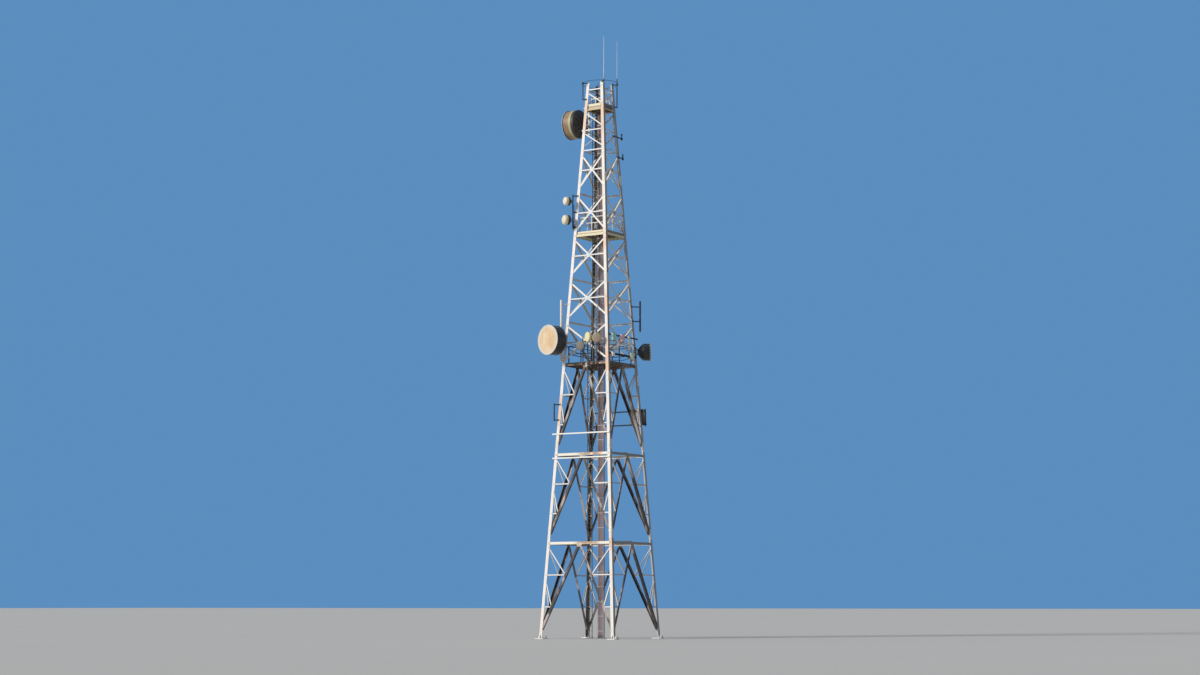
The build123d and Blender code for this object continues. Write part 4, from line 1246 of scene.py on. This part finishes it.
# Aerials on the right face and equipment cases on the back face
class Mounted(Shape):
    """Things that stand on a face of the tower, one after another."""

    def __init__(self, face):
        super().__init__()
        self.face = face
        self.back = None

    def stand(self, along, z, finish):
        """Moves to a point just outside the legs, and takes one finish."""
        self.back = self.face.point(along, z, -0.06)
        self.current = finish

    def spot(self, side, out, rise):
        """A point to the right of the present one, outwards and up."""
        return self.back + self.face.right * side + self.face.out * out + self.face.up * rise

    def plate(self, side, out, rise, *sizes):
        self.block(self.spot(side, out, rise), self.face.plane, *sizes)


def add_panel(shape, along, z, width, tall, deep, finish):
    """A flat aerial: shell with a raised front, end caps, clamps and connectors."""
    shape.stand(along, z, finish)
    shape.plate(0, 0.02, 0, width, tall, deep - 0.045, 0.025)
    shape.plate(0, deep - 0.026, 0, width - 0.03, tall - 0.05, 0.025, 0.02)
    shape.current = 1
    for end in (-1, 1):
        shape.plate(0, 0.018, end * (tall / 2 - 0.015), width, 0.03, deep - 0.04, 0.012)
        shape.plate(0, 0, end * tall * 0.28, width * 0.55, 0.05, 0.022)
    for side in (-0.2, 0.2):
        spot = shape.spot(side * width, deep / 2, -tall / 2)
        shape.lathe([(0.014, 0.0), (0.014, -0.05), (0.0, -0.05)], spot, shape.face.up, 12)


panels = Mounted(FACES["right"])
for panel in (
    (-1.13, 18.36, 0.42, 0.48, 0.15, 2),
    (-0.12, 18.37, 0.3, 0.48, 0.15, 3),
    (0.66, 18.13, 0.18, 0.9, 0.11, 0),
    (-1.3, 17.28, 0.26, 0.3, 0.14, 0),
    (0.9, 17.33, 0.3, 0.48, 0.15, 4),
):
    add_panel(panels, *panel)
panels.piece(
    "face_panel_aerials", aerial_white, grey_steel, aerial_teal, aerial_pink, aerial_green,
    slot="aerial_white", replaces=("panel_aerials",), ease=0.004,
)


def add_case(shape, along, z, width, tall, deep, door, finish):
    """A steel case: body, raised door, hinges, louvres and cable glands."""
    shape.stand(along, z, finish)
    shape.plate(0, 0, 0, width, tall, deep - 0.02, 0.02)
    shape.plate(0, deep - 0.02, 0, width - 0.04, tall - 0.06, 0.018, 0.015)
    for side in (-0.3, 0.3):
        shape.plate(side * width, deep - 0.003, 0, 0.02, tall * door, 0.003)
    shape.current = 2
    for level in (-0.3, 0.0, 0.3):
        shape.plate(-width / 2, deep - 0.03, level * tall, 0.016, 0.07, 0.02)
    for index in range(6):
        shape.plate(0, deep - 0.002, tall * 0.28 + 0.025 * index, width * 0.5, 0.008, 0.002)
    gland = [(0.016, 0.01), (0.016, -0.03), (0.009, -0.04), (0, -0.04)]
    for side in (-0.25, 0.0, 0.25):
        shape.lathe(gland, shape.spot(side * width, deep * 0.45, -tall / 2), shape.face.up, 12)


cases = Mounted(FACES["back"])
for case in (
    (-1.18, 13.65, 0.34, 1.0, 0.22, 0.8, 1),
    (-1.53, 13.65, 0.28, 1.05, 0.15, 0.85, 0),
    (-1.89, 13.64, 0.34, 0.98, 0.2, 0.8, 3),
):
    add_case(cases, *case)
cases.piece(
    "equipment_cases", case_grey, case_rose, dark_steel, case_dark,
    slot="equipment_grey", replaces=("equipment_units",), ease=0.004,
)


# Clamp bolts on the brackets that hold poles to the legs
def add_bracket_bolts(shape, corner, height):
    """Bolts through the angle that grips a leg."""
    sx, sy = LEG_CORNERS[corner]
    for offset in (0.06, 0.11):
        along = half(height) + 0.012 - offset
        for z in (height - 0.035, height + 0.035):
            out = half(z) + 0.012
            shape.bolt((sx * along, sy * out, z), (0, sy, 0), 0.014)
            shape.bolt((sx * out, sy * along, z), (sx, 0, 0), 0.014)


brackets = Shape()
for corner, heights in (
    ("front_left", (17.25, 19.25, 20.56, 25.43, 26.38, 27.41, 13.35, 14.31, 33.6, 34.64)),
    ("back_right", (19.62, 20.53, 33.2, 34.64)),
    ("front_right", (34.64,)),
    ("back_left", (34.64,)),
):
    for height in heights:
        add_bracket_bolts(brackets, corner, height)
brackets.piece("bracket_bolts", bolt_steel, slot="pale_steel")

# Finishes of the solids; the rest are pale steel
FINISHES = (
    (left_leg_steel, "front_left_leg"),
    (right_leg_steel, "front_right_leg"),
    (shaded_far_leg_steel, "back_right_leg"),
    (shaded_back_left_leg_steel, "back_left_leg"),
    (front_beam_steel, "front_level_beams"),
    (beam_steel, "right_level_beams back_level_beams left_level_beams"),
    (lower_bracing_steel, " ".join(f"{name}_lower_bracing" for name in FACES)),
    (upper_bracing_steel, " ".join(f"{name}_upper_bracing" for name in FACES)),
    (grating_steel, "main_platform_deck rest_platform_deck top_platform_deck"),
    (dark_steel, "lower_ladder upper_ladder cable_tray column_bars column_foot_plate "
     "front_dish_mount right_dish_mount right_dish_pole top_dish_mount platform_dish_poles"),
    (black_steel, "equipment_frame right_aerial_frame low_pole_frame right_side_pole "
     "top_guard_ring left_ring_pole right_ring_pole upper_right_bars small_dish_pole "
     "main_platform_rail"),
    (jackets[0], "feeder_cables"),
    (shaded_dark_shroud, "front_dish_drum right_dish_drum"),
    (top_drum_finish, "top_dish_drum"),
    (radome_sheet(), "front_dish_radome top_dish_radome right_dish_radome"),
    (radome_white, "upper_small_dish lower_small_dish platform_dish_left platform_dish_right "
     "platform_dish_low"),
    (aerial_white, "panel_aerials front_whip_aerial right_whip_aerial"),
    (case_grey, "equipment_units"),
)
finish_of_node = {name: finish for finish, names in FINISHES for name in names.split()}
for node_name, node_object in nodes.items():
    chosen = finish_of_node.get(node_name, pale_steel)
    if not node_object.material_slots:
        node_object.data.materials.append(chosen)
    for material_slot in node_object.material_slots:
        material_slot.material = chosen

# Floor, light and camera
floor_finish = Finish("plain_floor")
floor_cloud = floor_finish.noise(0.03, 0.03, 2.0)
floor_finish.surface(
    Base_Color=floor_finish.mix(floor_cloud, (0.6, 0.6, 0.59), (0.64, 0.64, 0.63)),
    Roughness=0.9,
)
floor_mesh = bpy.data.meshes.new("floor")
floor_corners = [(x, y, 0) for x, y in box_outline(1800.0, 1800.0)]
floor_mesh.from_pydata(floor_corners, [], [(0, 1, 2, 3)])
floor_mesh.materials.append(floor_finish.material)
linked_object("floor", floor_mesh)

world = bpy.data.worlds.new("studio")
sky = Graph(world)
seen = 0.0
for ray in ("Camera", "Glossy", "Transmission"):
    seen = sky.math("MAXIMUM", seen, sky.node("ShaderNodeLightPath", output=f"Is {ray} Ray"))
soft_light = {"Color": (0.93, 0.96, 1.0, 1.0), "Strength": 0.28}
backdrop = {"Color": (0.107, 0.27, 0.52, 1.0), "Strength": 1.0}
shaders = [sky.node("ShaderNodeBackground", inputs=light) for light in (soft_light, backdrop)]
both = sky.node("ShaderNodeMixShader", inputs={0: seen, 1: shaders[0], 2: shaders[1]})
sky.node("ShaderNodeOutputWorld", inputs={"Surface": both})
bpy.context.scene.world = world

sun_data = bpy.data.lights.new("key_light", "SUN")
sun_data.energy = 3.1
sun_data.angle = math.radians(14)
sun_data.color = (1.0, 0.94, 0.86)
sun = linked_object("key_light", sun_data)
sun.rotation_euler = Vector((0.42, 0.8, -0.42)).to_track_quat("-Z", "Y").to_euler()

camera_data = bpy.data.cameras.new("camera")
camera_data.sensor_width = 36.0
camera_data.lens = 66.0
camera_data.clip_end = 4000.0
camera = linked_object("camera", camera_data)
camera.location = (73.19, -114.39, 2.07)
aim_at = Vector((0, 0, 18.55))
camera.rotation_euler = (aim_at - camera.location).to_track_quat("-Z", "Y").to_euler()
bpy.context.scene.camera = camera
bpy.context.scene.view_settings.view_transform = "Standard"
